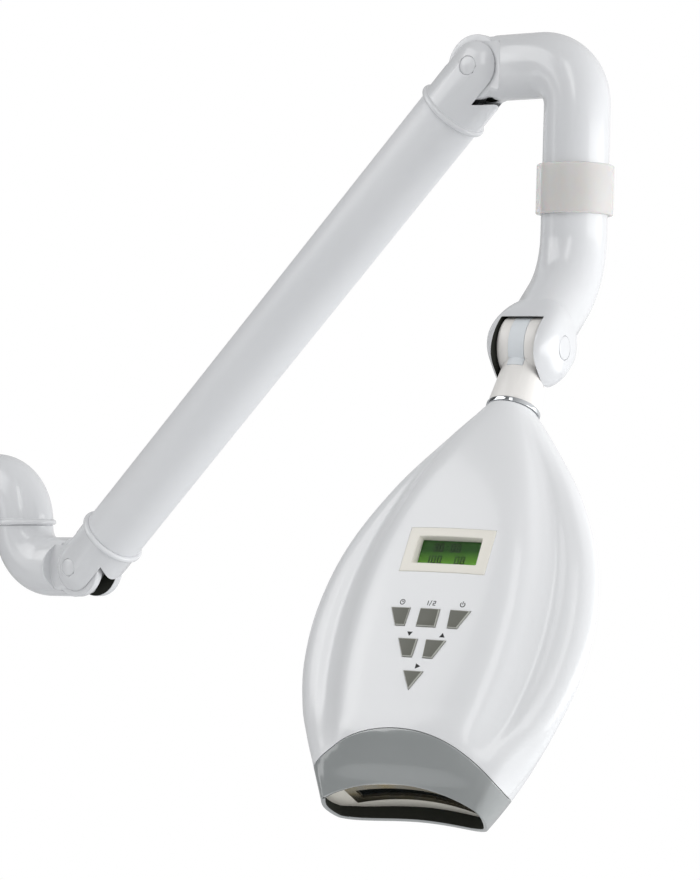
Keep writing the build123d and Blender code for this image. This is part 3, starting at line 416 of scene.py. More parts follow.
def bent_bar(radius, start, heading, legs):
    """A round bar that starts at a point and goes through straight runs and bends, closed at both ends.

    A leg is a length, or a tuple of bend radius, degrees and the way that it bends towards."""
    bm = bmesh.new()
    ring = bmesh.ops.create_circle(bm, segments=ROUND, radius=radius)["verts"]
    heading = Vector(heading)
    facing = Vector((0, 0, 1)).rotation_difference(heading).to_matrix().to_4x4()
    bmesh.ops.transform(bm, verts=ring, matrix=Matrix.Translation(start) @ facing)
    at = Vector(start)
    edges = list(bm.edges)
    for leg in legs:
        if isinstance(leg, tuple):
            bend_r, degrees, towards = leg
            towards = Vector(towards)
            centre = at + towards * bend_r
            axis = heading.cross(towards)
            verts = list({v for e in edges for v in e.verts})
            spun = bmesh.ops.spin(bm, geom=verts + edges, cent=centre, axis=axis, angle=radians(degrees),
                                  steps=max(8, int(degrees / 3)))
            edges = [e for e in spun["geom_last"] if isinstance(e, bmesh.types.BMEdge)]
            swing = Matrix.Rotation(radians(degrees), 3, axis)
            at = centre + swing @ (at - centre)
            heading = swing @ heading
        else:
            verts, edges = drawn_on(bm, edges)
            bmesh.ops.translate(bm, verts=list(verts), vec=heading * leg)
            at = at + heading * leg
    bmesh.ops.holes_fill(bm, edges=bm.edges, sides=0)
    bmesh.ops.recalc_face_normals(bm, faces=bm.faces)
    return bm


def run_through(rings, capped):
    """A surface through rings of equally many points, drawn ring by ring."""
    bm = bmesh.new()
    bmesh.ops.create_circle(bm, segments=len(rings[0]), radius=1)
    edges, ring = list(bm.edges), list(bm.verts)
    for row, points in enumerate(rings):
        if row:
            new, edges = drawn_on(bm, edges)
            ring = [next(e.other_vert(v) for e in v.link_edges if e.other_vert(v) in new) for v in ring]
        for vert, point in zip(ring, points):
            vert.co = point
    if capped:
        bmesh.ops.holes_fill(bm, edges=bm.edges, sides=0)
    bmesh.ops.recalc_face_normals(bm, faces=bm.faces)
    return bm


def as_object(bm, name):
    """The bmesh, used up, as an object in the scene."""
    mesh = bpy.data.meshes.new(name)
    bm.to_mesh(mesh)
    bm.free()
    thing = bpy.data.objects.new(name, mesh)
    bpy.context.scene.collection.objects.link(thing)
    return thing


def worked(bm, steps):
    """A bmesh after modifiers: each step is a kind and its settings. A boolean's other bmesh is used up."""
    thing = as_object(bm, "work")
    used = [thing]
    for kind, settings in steps:
        modifier = thing.modifiers.new(kind, kind)
        for key, value in settings.items():
            if isinstance(value, bmesh.types.BMesh):
                value = as_object(value, "cutter")
                used.append(value)
            setattr(modifier, key, value)
    done = thing.evaluated_get(bpy.context.evaluated_depsgraph_get())
    mesh = bpy.data.meshes.new_from_object(done)
    out = bmesh.new()
    out.from_mesh(mesh)
    bpy.data.meshes.remove(mesh)
    for each in used:
        old = each.data
        bpy.data.objects.remove(each)
        bpy.data.meshes.remove(old)
    return out


def combined(bm, operation, others):
    steps = [("BOOLEAN", {"operation": operation, "object": each, "solver": "EXACT"}) for each in others]
    return worked(bm, steps)


def cut(bm, *cutters):
    """The shape less every cutter."""
    return combined(bm, "DIFFERENCE", cutters)


def joined(bm, *others):
    """The shape and the others as one solid."""
    return combined(bm, "UNION", others)


def softened(bm, width, segments=3, angle=32):
    """Round the shape's sharp edges, as a mould or a deburring tool leaves them."""
    bmesh.ops.remove_doubles(bm, verts=bm.verts, dist=0.01)
    bmesh.ops.dissolve_degenerate(bm, edges=bm.edges, dist=0.01)
    sharp = [e for e in bm.edges if len(e.link_faces) == 2 and e.calc_face_angle(0) > radians(angle)]
    bmesh.ops.bevel(bm, geom=sharp, offset=width, offset_type="OFFSET", segments=segments, profile=0.5,
                    affect="EDGES", material=-1, clamp_overlap=False)
    return bm


def shade_painted_inside(bm, inside):
    """Give the faces that lie inside the second finish of the piece, the painted shade."""
    for face in bm.faces:
        face.material_index = int(inside(face.calc_center_median()))
    return bm


def gathered(*shapes):
    """Several loose shapes as one mesh."""
    out = bmesh.new()
    for bm in shapes:
        mesh = bpy.data.meshes.new("part")
        bm.to_mesh(mesh)
        bm.free()
        out.from_mesh(mesh)
        bpy.data.meshes.remove(mesh)
    return out


def copied(bm, matrix, flip=False):
    """A moved or mirrored copy."""
    out = bm.copy()
    out.transform(matrix)
    if flip:
        bmesh.ops.reverse_faces(out, faces=out.faces)
    return out


def piece(name, bm, place, body, material, replaced, smooth=40):
    """Place a finished shape, give it its finish, hang it on the empty of the body that it rides on, and hide
    the CAD parts that it stands for.
    """
    bm.transform(TO_METRES @ place)
    thing = as_object(bm, name)
    for each in material if isinstance(material, list) else [material]:
        thing.data.materials.append(each)
    thing.data.shade_smooth()
    thing.data.set_sharp_from_angle(angle=radians(smooth))
    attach(thing, body)
    if replaced:
        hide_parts(*replaced)
    return thing


# Elbows, caps and tube

ELBOW_R = 18.6
TONGUE_W = 24.0
TONGUE_R = 18.5
SHOULDER_R = 22.0
PIVOT_R = 4.0
SOCKET_R = 13.0
SOCKET_DEPTH = 40.0
FLANGE_R = 20.4
FLANGE_H = 3.2
CAP_R = 19.5
CAP_SLOT_W = 25.0
FLOOR_R = 21.7
LIP_R = 21.4
LIP_W = 3.4
LOWER_LIP_X = 28.0
UPPER_LIP_X = 32.0
TUBE_R = 19.0
TUBE_WALL = 2.0
COVER_R = 5.3
COVER_SEAT = 17.0     # how far out the pins' covers are seated
SPIGOT_R = 17.0
SPIGOT_END = 17.7     # from the lip's middle to the end of the part that goes into the tube
LINK_SLOT = 6.5       # half width of the slots that the links swing in
GRUB_BORE_R = 2.55
GRUB_XS = (11, 29)
SLEEVE_TOP = -57.0
SLEEVE_H = 28.0
MOULD_EDGE = 0.7      # rounding that the moulds leave on outer edges
CLEAR = 30            # past every wall that a cutter goes through


def base_elbow():
    bend = 25.0
    bar = bent_bar(ELBOW_R, (0, 0, 0), (1, 0, 0),
                   [BASE_REACH - bend, (bend, 90, (0, 0, -1)), -SWIVEL_Z - bend])
    corners = [(ELBOW_R - 1, SWIVEL_Z), (FLANGE_R, SWIVEL_Z), (FLANGE_R, SWIVEL_Z + FLANGE_H),
               (ELBOW_R - 1, SWIVEL_Z + FLANGE_H)]
    flange = turned(rounded(corners, (0, 1.3, 1.4, 0)))
    flange.transform(shift(BASE_REACH, 0, 0))
    bar = joined(bar, flange)
    bar = cut(bar, rod(SOCKET_R, -5, SOCKET_DEPTH, ALONG_X),
              *[rod(GRUB_BORE_R, -CLEAR, 0, shift(x, 0, 0), 32) for x in GRUB_XS])
    return softened(bar, MOULD_EDGE)


def tongued(bar, facing):
    """Cut the hinge's tongue on an elbow: flats at both sides, the links' slot and the pin's bore."""
    reach = 60
    sides = [rod(SHOULDER_R, TONGUE_W / 2, reach, ALONG_Y, 128),
             rod(SHOULDER_R, -reach, -TONGUE_W / 2, ALONG_Y, 128)]
    floor_x, mouth_x = -9 * facing, CLEAR * facing
    slot = slab(min(floor_x, mouth_x), max(floor_x, mouth_x), -LINK_SLOT, LINK_SLOT, -CLEAR, CLEAR)
    bore = rod(PIVOT_R + 2, -reach, reach, ALONG_Y, 48)
    bar = joined(bar, rod(TONGUE_R, -TONGUE_W / 2, TONGUE_W / 2, ALONG_Y, 128))
    bar = softened(cut(bar, *sides, slot, bore), MOULD_EDGE)
    # Faces inside the links' slot take the second finish: painted shade
    return shade_painted_inside(bar, lambda at: abs(at.y) < LINK_SLOT + 0.1 and at.xz.length < TONGUE_R - 0.4)


def lower_elbow():
    bend = 25.5
    top = LOWER_RISE - 0.12
    bar = bent_bar(ELBOW_R, (-LOWER_REACH, 0, top), (0, 0, -1),
                   [top - bend, (bend, 90, (1, 0, 0)), LOWER_REACH - bend])
    return tongued(bar, 1)


def upper_elbow():
    bend = 24.0
    bar = bent_bar(ELBOW_R, (0, 0, 0), (1, 0, 0),
                   [UPPER_REACH - bend, (bend, 90, (0, 0, -1)), UPPER_DROP - bend])
    return tongued(bar, -1)


def end_cap(lip_x, with_rod):
    """A cap with a domed fork end about the hinge, and the bead that the tube butts on."""
    dome = 20
    profile = [(0, -CAP_R)]
    profile += [(CAP_R * sin(pi / 2 * k / dome), -CAP_R * cos(pi / 2 * k / dome)) for k in range(1, dome + 1)]
    bead = rounded([(CAP_R, lip_x - LIP_W / 2), (LIP_R, lip_x - LIP_W / 2), (LIP_R, lip_x + LIP_W / 2),
                    (TUBE_R - 0.4, lip_x + LIP_W / 2)], (0, 1.55, 1.55, 0))
    profile += bead + [(SPIGOT_R, lip_x + LIP_W / 2), (SPIGOT_R, lip_x + SPIGOT_END), (0, lip_x + SPIGOT_END)]
    cap = turned(profile, 128)
    cap.transform(ALONG_X)
    half = CAP_SLOT_W / 2
    cutters = [slab(-CLEAR, 0, -half, half, -CLEAR, CLEAR), rod(FLOOR_R, -half, half, ALONG_Y, 128),
               rod(PIVOT_R, -CLEAR, CLEAR, ALONG_Y, 48),
               rod(COVER_R + 0.12, -CLEAR, -COVER_SEAT, ALONG_Y, 64),
               rod(COVER_R + 0.12, COVER_SEAT, CLEAR, ALONG_Y, 64),
               slab(0, 60, -3.5, 3.5, -15, -4.6)]       # the tie link's passage into the tube
    if with_rod:
        cutters.append(slab(0, 60, -2.8, 2.8, 4.4, 13.6))

    # Faces inside the cap's slot take the second finish: painted shade
    def in_slot(at):
        return abs(at.y) < half - 0.1 and at.xz.length < FLOOR_R + 0.3 and at.yz.length < CAP_R - 0.4

    return shade_painted_inside(softened(cut(cap, *cutters), 0.45), in_slot)


def pin_covers():
    """Shallow domed discs in the caps' cheeks, over the pins' ends."""
    edge_y = sqrt(CAP_R ** 2 - COVER_R ** 2)
    profile = [(0, 17.1), (COVER_R, 17.1), (COVER_R, edge_y - 0.25), (COVER_R - 0.3, edge_y + 0.02)]
    profile += [(COVER_R * (1 - k / 8), sqrt(CAP_R ** 2 - (COVER_R * (1 - k / 8)) ** 2)) for k in range(1, 8)]
    profile.append((0, CAP_R))
    disc = turned(profile, 64)
    out = []
    for x in (0, ARM_LENGTH):
        for way in (ALONG_Y, turn(90, "X")):
            out.append(copied(disc, shift(x, 0, 0) @ way))
    disc.free()
    return gathered(*out)


def arm_tube():
    low, high = LOWER_LIP_X + LIP_W / 2, ARM_LENGTH - UPPER_LIP_X - LIP_W / 2
    inner = TUBE_R - TUBE_WALL
    corners = [(inner, low), (TUBE_R, low), (TUBE_R, high), (inner, high)]
    return turned(rounded(corners, (0, 0.5, 0.5, 0)), 160)


def swivel_sleeve():
    inner, outer, low, high = ELBOW_R + 0.45, ELBOW_R + 3.05, SLEEVE_TOP - SLEEVE_H, SLEEVE_TOP
    corners = [(inner, low), (outer, low), (outer, high), (inner, high)]
    return turned(rounded(corners, (0.3, 0.9, 0.9, 0.3)), 128)


# Fork and knuckle

CHEEK_R = 20.4
CHEEK_W = 42.0
CHEEK_TIP = 25.0       # from the hinge to the blunt tip, along the leg
CAP_DISC_R = 6.6
FLARE_L = 36.0
FLARE_FROM_R = 17.8
FLARE_SQUARE = 2.0
FORK_SLOT_W = 25.6
FORK_SLOT_R = 18.2
FORK_PIN_R = 5.0
FORK_BEND = 50.0
CHEEK_SEAT = 19.0      # how far out the caps over the tilt pin are seated
RIM_ROUND = 1.0        # rounding of the slot's rims
WHEEL_R = 17.6
WHEEL_W = 25.0
INLAY_HALF = 4.75
INLAY_R = 17.85


def fork():
    knee = -FORK_DROP + FORK_REACH / tan(radians(FORK_SLOPE))
    ease = FORK_BEND * tan(radians(FORK_SLOPE / 2))
    top = -UPPER_DROP - 0.4
    leg = sqrt(FORK_REACH ** 2 + (FORK_DROP + knee) ** 2) - ease
    bar = bent_bar(ELBOW_R, (0, 0, top), (0, 0, -1),
                   [top - knee - ease, (FORK_BEND, FORK_SLOPE, (0, -1, 0)), leg])
    at_hinge = shift(0, -FORK_REACH, -FORK_DROP)
    swelling = flare()
    swelling.transform(at_hinge @ turn(-FORK_SLOPE, "X"))
    bar = joined(bar, swelling)
    half = FORK_SLOT_W / 2
    slot = [rod(FORK_SLOT_R, -half, half, ALONG_X, 128), slab(-half, half, -32, 0, -32, 16.5),
            slab(-half, half, -32, 32, -32, 0)]
    bores = [rod(FORK_PIN_R, -CLEAR, CLEAR, ALONG_X, 48),
             rod(CAP_DISC_R + 0.1, CHEEK_SEAT, CLEAR, ALONG_X, 64),
             rod(CAP_DISC_R + 0.1, -CLEAR, -CHEEK_SEAT, ALONG_X, 64)]
    for cutter in slot + bores:
        cutter.transform(at_hinge)
    hinge = at_hinge.translation
    bar = cut(bar, *slot, *bores)
    rims = [e for e in bar.edges if e.calc_face_angle(0) > radians(32)
            and all(abs(v.co.x) < half + 0.1 for v in e.verts)]
    bmesh.ops.bevel(bar, geom=rims, offset=RIM_ROUND, offset_type="OFFSET", segments=3, profile=0.5,
                    affect="EDGES", material=-1, clamp_overlap=True)
    # Slot walls and floor take the second finish: painted shade where the slot lies in shadow
    for face in bar.faces:
        at = face.calc_center_median() - hinge
        wall = abs(abs(at.x) - half) < 0.06 and abs(face.normal.x) > 0.98
        slot_floor = abs(at.x) < half - 0.06 and at.yz.length < FORK_SLOT_R + 0.7
        face.material_index = int(wall or slot_floor)
    return bar


def flare():
    """The leg's lower end: a round that swells into the cheeks' square shoulders and a blunt tip."""
    rings = []
    for row in range(13):
        run = row / 12
        share = 1 - (1 - max(0, run - 0.35) / 0.65) ** 2
        rings.append(flare_ring(share, 1, FLARE_L * (1 - run), 5.0 * sin(pi * run) ** 2))
    for row in range(1, 16):
        angle = pi / 2 * row / 15
        rings.append(flare_ring(1, max(cos(angle), 0.01) ** 0.8, -CHEEK_TIP * sin(angle), 0))
    return run_through(rings, True)


def flare_ring(share, scale, z, full):
    """One section: a round at share 0 and a square one at share 1. The side behind can be fuller."""
    half_w = FLARE_FROM_R + (CHEEK_W / 2 - FLARE_FROM_R) * share
    half_h = FLARE_FROM_R + (CHEEK_R - 0.5 - FLARE_FROM_R) * share
    power = 1 / (1 + FLARE_SQUARE / 2 * share)
    ring = []
    for step in range(ROUND):
        c, s = cos(2 * pi * step / ROUND), sin(2 * pi * step / ROUND)
        ring.append((copysign(abs(c) ** power, c) * half_w * scale,
                     copysign(abs(s) ** power, s) * (half_h + full * max(s, 0)) * scale, z))
    return ring


def fork_caps():
    low, high = CHEEK_SEAT + 0.05, CHEEK_W / 2
    cap = turned(rounded([(0, low), (CAP_DISC_R, low), (CAP_DISC_R, high), (0, high)], (0, 0, 0.7, 0)), 64)
    cap.transform(ALONG_X)
    other = copied(cap, Matrix.Scale(-1, 4, (1, 0, 0)), True)
    return gathered(cap, other)


def knuckle():
    half = WHEEL_W / 2
    corners = [(0, -half), (WHEEL_R, -half), (WHEEL_R, half), (0, half)]
    wheel = turned(rounded(corners, (0, 2.6, 2.6, 0), 8), 128)
    wheel.transform(ALONG_X)
    neck = turned(rounded([(0, -38.3), (14.4, -38.3), (11.8, -12.0), (0, -12.0)], (0, 0.6, 0, 0)))
    band = cut(rod(18.5, -4.77, 4.77, ALONG_X, 128), rod(15.6, -10, 10, ALONG_X, 128))
    band = cut(band, *inlay_ends(0.03))
    body = cut(joined(wheel, neck), band, neck_tab(0.05), rod(7.1, -20, 20, ALONG_X, 64))
    return softened(body, 0.4)


def neck_tab(grow):
    """The inlay's squared end, which runs on from the wheel down the front of the neck."""
    tab = turned([(9.5, -17.5 - grow), (12.55 + grow, -17.5 - grow), (12.0 + grow, -11.0), (9.5, -11.0)])
    side = INLAY_HALF + grow
    return cut(tab, slab(side, CLEAR, -CLEAR, CLEAR, -CLEAR, 0), slab(-CLEAR, -side, -CLEAR, CLEAR, -CLEAR, 0),
               slab(-CLEAR, CLEAR, -5, CLEAR, -CLEAR, 0))


def inlay_ends(grow):
    """Cutters that leave only the inlay's arc of a band, from under the hood round to the neck."""
    out = []
    for degrees, side in ((-62.0, 1), (48.0, -1)):
        spare = slab(-12, 12, -60, 60, grow, 60) if side > 0 else slab(-12, 12, -60, 60, -60, -grow)
        spare.transform(turn(degrees, "X"))
        out.append(spare)
    back = slab(-12, 12, 2, 60, -60, 60)
    return [back] + out


def knuckle_inlay():
    inner, half = 15.65, INLAY_HALF
    corners = [(inner, -half), (INLAY_R, -half), (INLAY_R, half), (inner, half)]
    band = turned(rounded(corners, (0, 0.3, 0.3, 0)), 160)
    band.transform(ALONG_X)
    return softened(joined(cut(band, *inlay_ends(0.0)), neck_tab(0.0)), 0.2)


def chrome_ring():
    low, high = -RING_DROP + 0.4, -RING_DROP + 3.0
    return turned(rounded([(9, low), (14.9, low), (14.9, high), (9, high)], (0.1, 0.5, 0.5, 0.1)), 128)


# Lamp head: the form is read from tables of shares down its length and across its width

HEAD_LENGTH = 238.0
HEAD_HALF_W = 80.0
HEAD_FRONT = 28.2
HEAD_BACK = 31.0
EDGE_AHEAD = 4.2
STATIONS = [0.0, 0.085, 0.21, 0.36, 0.51, 0.65, 0.765, 0.84, 0.895, 0.945, 1.01]
WIDTHS = [0.178, 0.397, 0.682, 0.911, 1.012, 0.999, 0.910, 0.805, 0.710, 0.638, 0.540]
FRONTS = [0.525, 0.720, 0.900, 0.980, 1.000, 1.000, 0.990, 0.955, 0.720, 0.440, 0.260]
BACKS = [0.478, 0.690, 0.870, 0.970, 1.000, 1.000, 0.970, 0.920, 0.840, 0.735, 0.600]
GROOVES = [0.0, 0.15, 0.70, 1.00, 1.00, 1.00, 0.80, 0.35, 0.05, 0.0, 0.0]
POWERS = [2.0, 2.0, 2.0, 2.0, 2.0, 2.0, 2.15, 2.35, 2.6, 2.7, 2.7]
FRONT_POWERS = [2.0, 2.0, 2.0, 2.0, 2.0, 2.0, 2.15, 2.5, 3.4, 4.4, 5.0]
ACROSS = [0.0, 0.22, 0.42, 0.56, 0.66, 0.74, 0.84, 0.94, 1.0]
LOBES = [1.0, 0.985, 0.925, 0.80, 0.57, 0.425, 0.385, 0.27, 0.0]
SHELL_WALL = 2.6
PARTING_Y = 4.0
SEAM_T = 197.6
SEAM_SAG = 22.0
SEAM_HALF_W = 56.0
SEAM_GAP = 0.25
MOUTH_T = 225.0
MOUTH_SAG = 8.3
MOUTH_HALF_W = 46.5
MOUTH_SLOPE = 9.6
LEVELS = 480          # how finely the form is read down its length
READ_TO = 1.008       # and how far, as a share of it: just past the end
PER_SPAN = 6          # columns between two points of an outline


def read(table, share):
    """A table's value between stations, along a smooth curve."""
    last = len(STATIONS) - 1
    i = max(j for j in range(last) if STATIONS[j] <= share or j == 0)

    def slope(j):
        low, high = max(j - 1, 0), min(j + 1, last)
        return (table[high] - table[low]) / (STATIONS[high] - STATIONS[low])

    span = STATIONS[i + 1] - STATIONS[i]
    u = min((share - STATIONS[i]) / span, 1.0)
    rise = table[i + 1] - table[i]
    start, end = slope(i) * span, slope(i + 1) * span
    return table[i] + u * start + u * u * (3 * rise - 2 * start - end) + u ** 3 * (start + end - 2 * rise)


def outline(share):
    """The head's closed outline at one level, as x and y round it from the front's middle."""
    half_w = HEAD_HALF_W * read(WIDTHS, share)
    front = HEAD_FRONT * read(FRONTS, share)
    back = HEAD_BACK * read(BACKS, share)
    groove, powers = read(GROOVES, share), [read(table, share) for table in (FRONT_POWERS, POWERS)]
    quarter = []
    for x, lobe in zip(ACROSS, LOBES):
        rounds = [(1 - x ** power) ** (1 / power) for power in powers]
        quarter.append((x * half_w, *(plain + groove * (lobe - plain) for plain in rounds)))
    edge = EDGE_AHEAD * groove
    ahead, behind = front - edge, back + edge
    ring = [(x, -ahead * y - edge) for x, y, _ in quarter]
    ring += [(x, behind * y - edge) for x, _, y in reversed(quarter[:-1])]
    ring += [(-x, behind * y - edge) for x, _, y in quarter[1:]]
    ring += [(-x, -ahead * y - edge) for x, y, _ in reversed(quarter[1:-1])]
    count = len(ring)
    fine = []
    for i in range(count):
        a, b, c, d = (Vector(ring[(i + k) % count]) for k in (-1, 0, 1, 2))
        span, least = (c - b).length, 1e-6
        into = (c - a) * (span / max(span + (b - a).length, least))
        out = (d - b) * (span / max((d - c).length + span, least))
        for k in range(PER_SPAN):
            u = k / PER_SPAN
            point = b * (2 * u ** 3 - 3 * u * u + 1) + into * (u ** 3 - 2 * u * u + u)
            fine.append(point + c * (3 * u * u - 2 * u ** 3) + out * (u ** 3 - u * u))
    return fine


outlines = [outline(k / LEVELS * READ_TO) for k in range(LEVELS + 1)]
COLUMNS = len(outlines[0])


def skin_point(column, t):
    """The point of the skin in one column, t below the head's top face."""
    level = min(max(t / (HEAD_LENGTH * READ_TO) * LEVELS, 0), LEVELS - 0.001)
    i = int(level)
    flat = outlines[i][column].lerp(outlines[i + 1][column], level - i)
    return Vector((flat.x, flat.y, -t))


def seam_at(point):
    r = (SEAM_HALF_W ** 2 + SEAM_SAG ** 2) / (2 * SEAM_SAG)
    return SEAM_T + r - sqrt(max(r * r - point.x ** 2, 0))


def mouth_at(point):
    r = (MOUTH_HALF_W ** 2 + MOUTH_SAG ** 2) / (2 * MOUTH_SAG)
    sag = r - sqrt(r * r - point.x ** 2)
    lean = radians(MOUTH_SLOPE)
    return MOUTH_T + tan(lean) * point.y + sag / cos(lean)


def settled(column, target):
    """Where a column meets a line that is given as a depth for every point."""
    t = target(skin_point(column, SEAM_T))
    for _ in range(24):
        t = (t + target(skin_point(column, t))) / 2
    return t


seams = [settled(c, seam_at) for c in range(COLUMNS)]
mouths = [settled(c, mouth_at) for c in range(COLUMNS)]


def skin_between(starts, ends, rows):
    """The head's skin between two lines, drawn ring by ring downwards."""
    rings = [[skin_point(c, starts[c] + (ends[c] - starts[c]) * row / rows) for c in range(COLUMNS)]
             for row in range(rows + 1)]
    return run_through(rings, False)


def shells():
    """The front and back shells: the skin down to the seam, parted behind its middle, with a real wall."""
    skin = skin_between([0.0] * COLUMNS, [s - SEAM_GAP for s in seams], 110)
    top = [e for e in skin.edges if e.is_boundary and e.verts[0].co.z > -1]
    bmesh.ops.edgeloop_fill(skin, edges=top)
    halves = []
    for y, keep_front in ((PARTING_Y - 0.1, True), (PARTING_Y + 0.1, False)):
        half = skin.copy()
        bmesh.ops.bisect_plane(half, geom=half.verts[:] + half.edges[:] + half.faces[:], plane_co=(0, y, 0),
                               plane_no=(0, 1, 0), clear_outer=keep_front, clear_inner=not keep_front)
        bmesh.ops.recalc_face_normals(half, faces=half.faces)
        if sum((f.normal.y if keep_front else -f.normal.y) * f.calc_area() for f in half.faces) > 0:
            bmesh.ops.reverse_faces(half, faces=half.faces)
        halves.append(worked(half, [("SOLIDIFY", {"thickness": SHELL_WALL, "offset": -1.0})]))
    skin.free()
    return halves


def nozzle():
    skin = skin_between(seams, mouths, 26)
    bm = softened(worked(skin, [("SOLIDIFY", {"thickness": SHELL_WALL, "offset": -1.0})]), 0.45)
    for face in bm.faces:       # the faces that look inwards get painted shade inside the nozzle
        face.material_index = int(face.normal.xy.dot(face.calc_center_median().xy.normalized()) < -0.55)
    return bm


def front_y(x, t):
    """How far ahead the skin lies at one place of the front."""
    best = None
    for column in list(range(0, COLUMNS // 4)) + list(range(COLUMNS * 3 // 4, COLUMNS)):
        here, there = skin_point(column, t), skin_point((column + 1) % COLUMNS, t)
        if min(here.x, there.x) - 1e-9 <= x <= max(here.x, there.x) + 1e-9:
            u = 0 if here.x == there.x else (x - here.x) / (there.x - here.x)
            best = here.lerp(there, u).y
    return best


# Display, keys and printed marks

DISPLAY_T = 96.8
BEZEL_W, BEZEL_H = 50.0, 26.0
DISPLAY_W, DISPLAY_H = 38.0, 16.0
KEY_ROWS = [131.0, 148.4, 166.3]
KEY_W, KEY_H = 11.0, 10.0
KEY_PROUD = 0.9
KEY_CLEAR = 0.35
PANE_FRONT, PANE_BACK = -24.6, -24.0
FIGURES_Y, MODULE_Y = -23.9, -23.6
DISPLAY_LOW = tuple(TO_METRES @ AT_HEAD @ Vector((0, PANE_BACK, -DISPLAY_T - DISPLAY_H / 2)))


def key_outline(kind, mirrored):
    half = KEY_W / 2
    shapes = {"square": [(-half, 0), (half, 0), (half, -KEY_H), (-half, -KEY_H)],
              "tip": [(-half, 0), (half, 0), (0, -KEY_H)],
              "slanted": [(-half, 0), (half, 0), (half - 0.6, -KEY_H), (5.0 - half, -KEY_H)]}
    corners = shapes[kind]
    return [(-x, z) for x, z in reversed(corners)] if mirrored else corners


KEYS = [("timer_key", "slanted", -17.4, 0, False), ("mode_key", "square", 0.0, 0, False),
        ("power_key", "slanted", 17.4, 0, True), ("down_key", "slanted", -8.1, 1, False),
        ("up_key", "slanted", 8.1, 1, True), ("start_key", "tip", 0.0, 2, False)]


def offset_outline(corners, grow):
    """The outline moved out all round by the same amount."""
    out = []
    count = len(corners)
    for i, corner in enumerate(corners):
        at = Vector(corner)
        before = (at - Vector(corners[i - 1])).normalized()
        after = (Vector(corners[(i + 1) % count]) - at).normalized()
        side = 1 if before.x * after.y - before.y * after.x < 0 else -1
        n1, n2 = Vector((-before.y, before.x)) * side, Vector((-after.y, after.x)) * side
        both = (n1 + n2).normalized()
        out.append(tuple(at + both * (grow / max(both.dot(n1), 0.2))))
    return out


def placed(corners, x, t):
    return [(a + x, b - t) for a, b in corners]


def head_openings():
    """Cutters for the display's frame and the keys."""
    half_w, half_h = BEZEL_W / 2 + 0.08, BEZEL_H / 2 + 0.08
    out = [slab(-half_w, half_w, -40, -10, -DISPLAY_T - half_h, -DISPLAY_T + half_h)]
    for _, kind, x, row, mirrored in KEYS:
        hole = offset_outline(key_outline(kind, mirrored), KEY_CLEAR)
        out.append(prism(placed(hole, x, KEY_ROWS[row]), -40, -15))
    return out


def key_cap(kind, x, row, mirrored):
    """A key: its face follows the skin, just proud of it, with its edge rounded over."""
    bm = prism(placed(key_outline(kind, mirrored), x, KEY_ROWS[row]), -23.0, -27.0)
    for vert in bm.verts:
        if vert.co.y < -25:
            vert.co.y = front_y(vert.co.x, -vert.co.z) - KEY_PROUD
    fronts = [e for e in bm.edges if all(v.co.y < -25 for v in e.verts)]
    bmesh.ops.bevel(bm, geom=fronts, offset=0.35, segments=2, profile=0.5, affect="EDGES", material=-1)
    # Sides and rounded edges take the lighter grey: painted highlight for their lit walls
    for face in bm.faces:
        face.material_index = int(face.normal.y > -0.93)
    return bm


def bezel():
    """The display's frame: it follows the skin outside and slopes in to the pane inside."""
    bm = bmesh.new()
    bmesh.ops.create_grid(bm, x_segments=12, y_segments=8, size=0.5)
    bmesh.ops.scale(bm, verts=bm.verts, vec=(BEZEL_W, BEZEL_H, 1))
    bm.transform(shift(0, 0, -DISPLAY_T) @ turn(90, "X"))
    for vert in bm.verts:
        vert.co.y = front_y(vert.co.x, -vert.co.z) - 0.35
    pushed = bmesh.ops.extrude_face_region(bm, geom=bm.faces[:])
    back = [v for v in pushed["geom"] if isinstance(v, bmesh.types.BMVert)]
    for vert in back:
        vert.co.y = MODULE_Y
    bmesh.ops.recalc_face_normals(bm, faces=bm.faces)
    well = slab(-DISPLAY_W / 2, DISPLAY_W / 2, -28.5, -23, -DISPLAY_H / 2, DISPLAY_H / 2)
    for vert in well.verts:
        if vert.co.y > -25:
            vert.co.x, vert.co.z = vert.co.x * 0.91, vert.co.z * 0.86
    well.transform(shift(0, 0, -DISPLAY_T))
    return softened(cut(bm, well), 0.5)


SEGMENTS = {"0": "abcdef", "1": "bc", "3": "abgcd", "8": "abcdefg"}


def digit_bars(figure, x, z):
    """The bars of one seven-segment figure, from its lower left corner."""
    wide, high, bar = 2.3, 4.6, 0.5
    boxes = {"a": (0, wide, high - bar, high), "g": (0, wide, (high - bar) / 2, (high + bar) / 2),
             "d": (0, wide, 0, bar), "f": (0, bar, high / 2, high), "b": (wide - bar, wide, high / 2, high),
             "e": (0, bar, 0, high / 2), "c": (wide - bar, wide, 0, high / 2)}
    return [slab(x + a, x + b, FIGURES_Y, MODULE_Y, z + c, z + d)
            for a, b, c, d in (boxes[s] for s in SEGMENTS[figure])]


def display_figures():
    """Plain figures on the display: minutes and seconds above, a level below."""
    out = []
    for text, left, low in (("30 00", -10.6, 0.9), ("100  08", -13.4, -6.0)):
        for k, figure in enumerate(text):
            x = left + k * 3.4
            if figure in SEGMENTS:
                out += digit_bars(figure, x, low)
            elif text == "30 00":
                out += [slab(x + 0.9, x + 1.5, FIGURES_Y, MODULE_Y, low + z, low + z + 0.6) for z in (1.1, 2.9)]
    bm = gathered(*out)
    bm.transform(shift(0, 0, -DISPLAY_T))
    return bm


def arc(radius, start, end, width, steps=28):
    """The outline of a ring or part of one, degrees from straight up."""
    angles = [radians(start + (end - start) * k / steps) for k in range(steps + 1)]
    outer = [(radius * sin(a), radius * cos(a)) for a in angles]
    inner = [((radius - width) * sin(a), (radius - width) * cos(a)) for a in reversed(angles)]
    return outer + inner


def bar(x0, x1, z0, z1):
    return [(x0, z0), (x1, z0), (x1, z1), (x0, z1)]


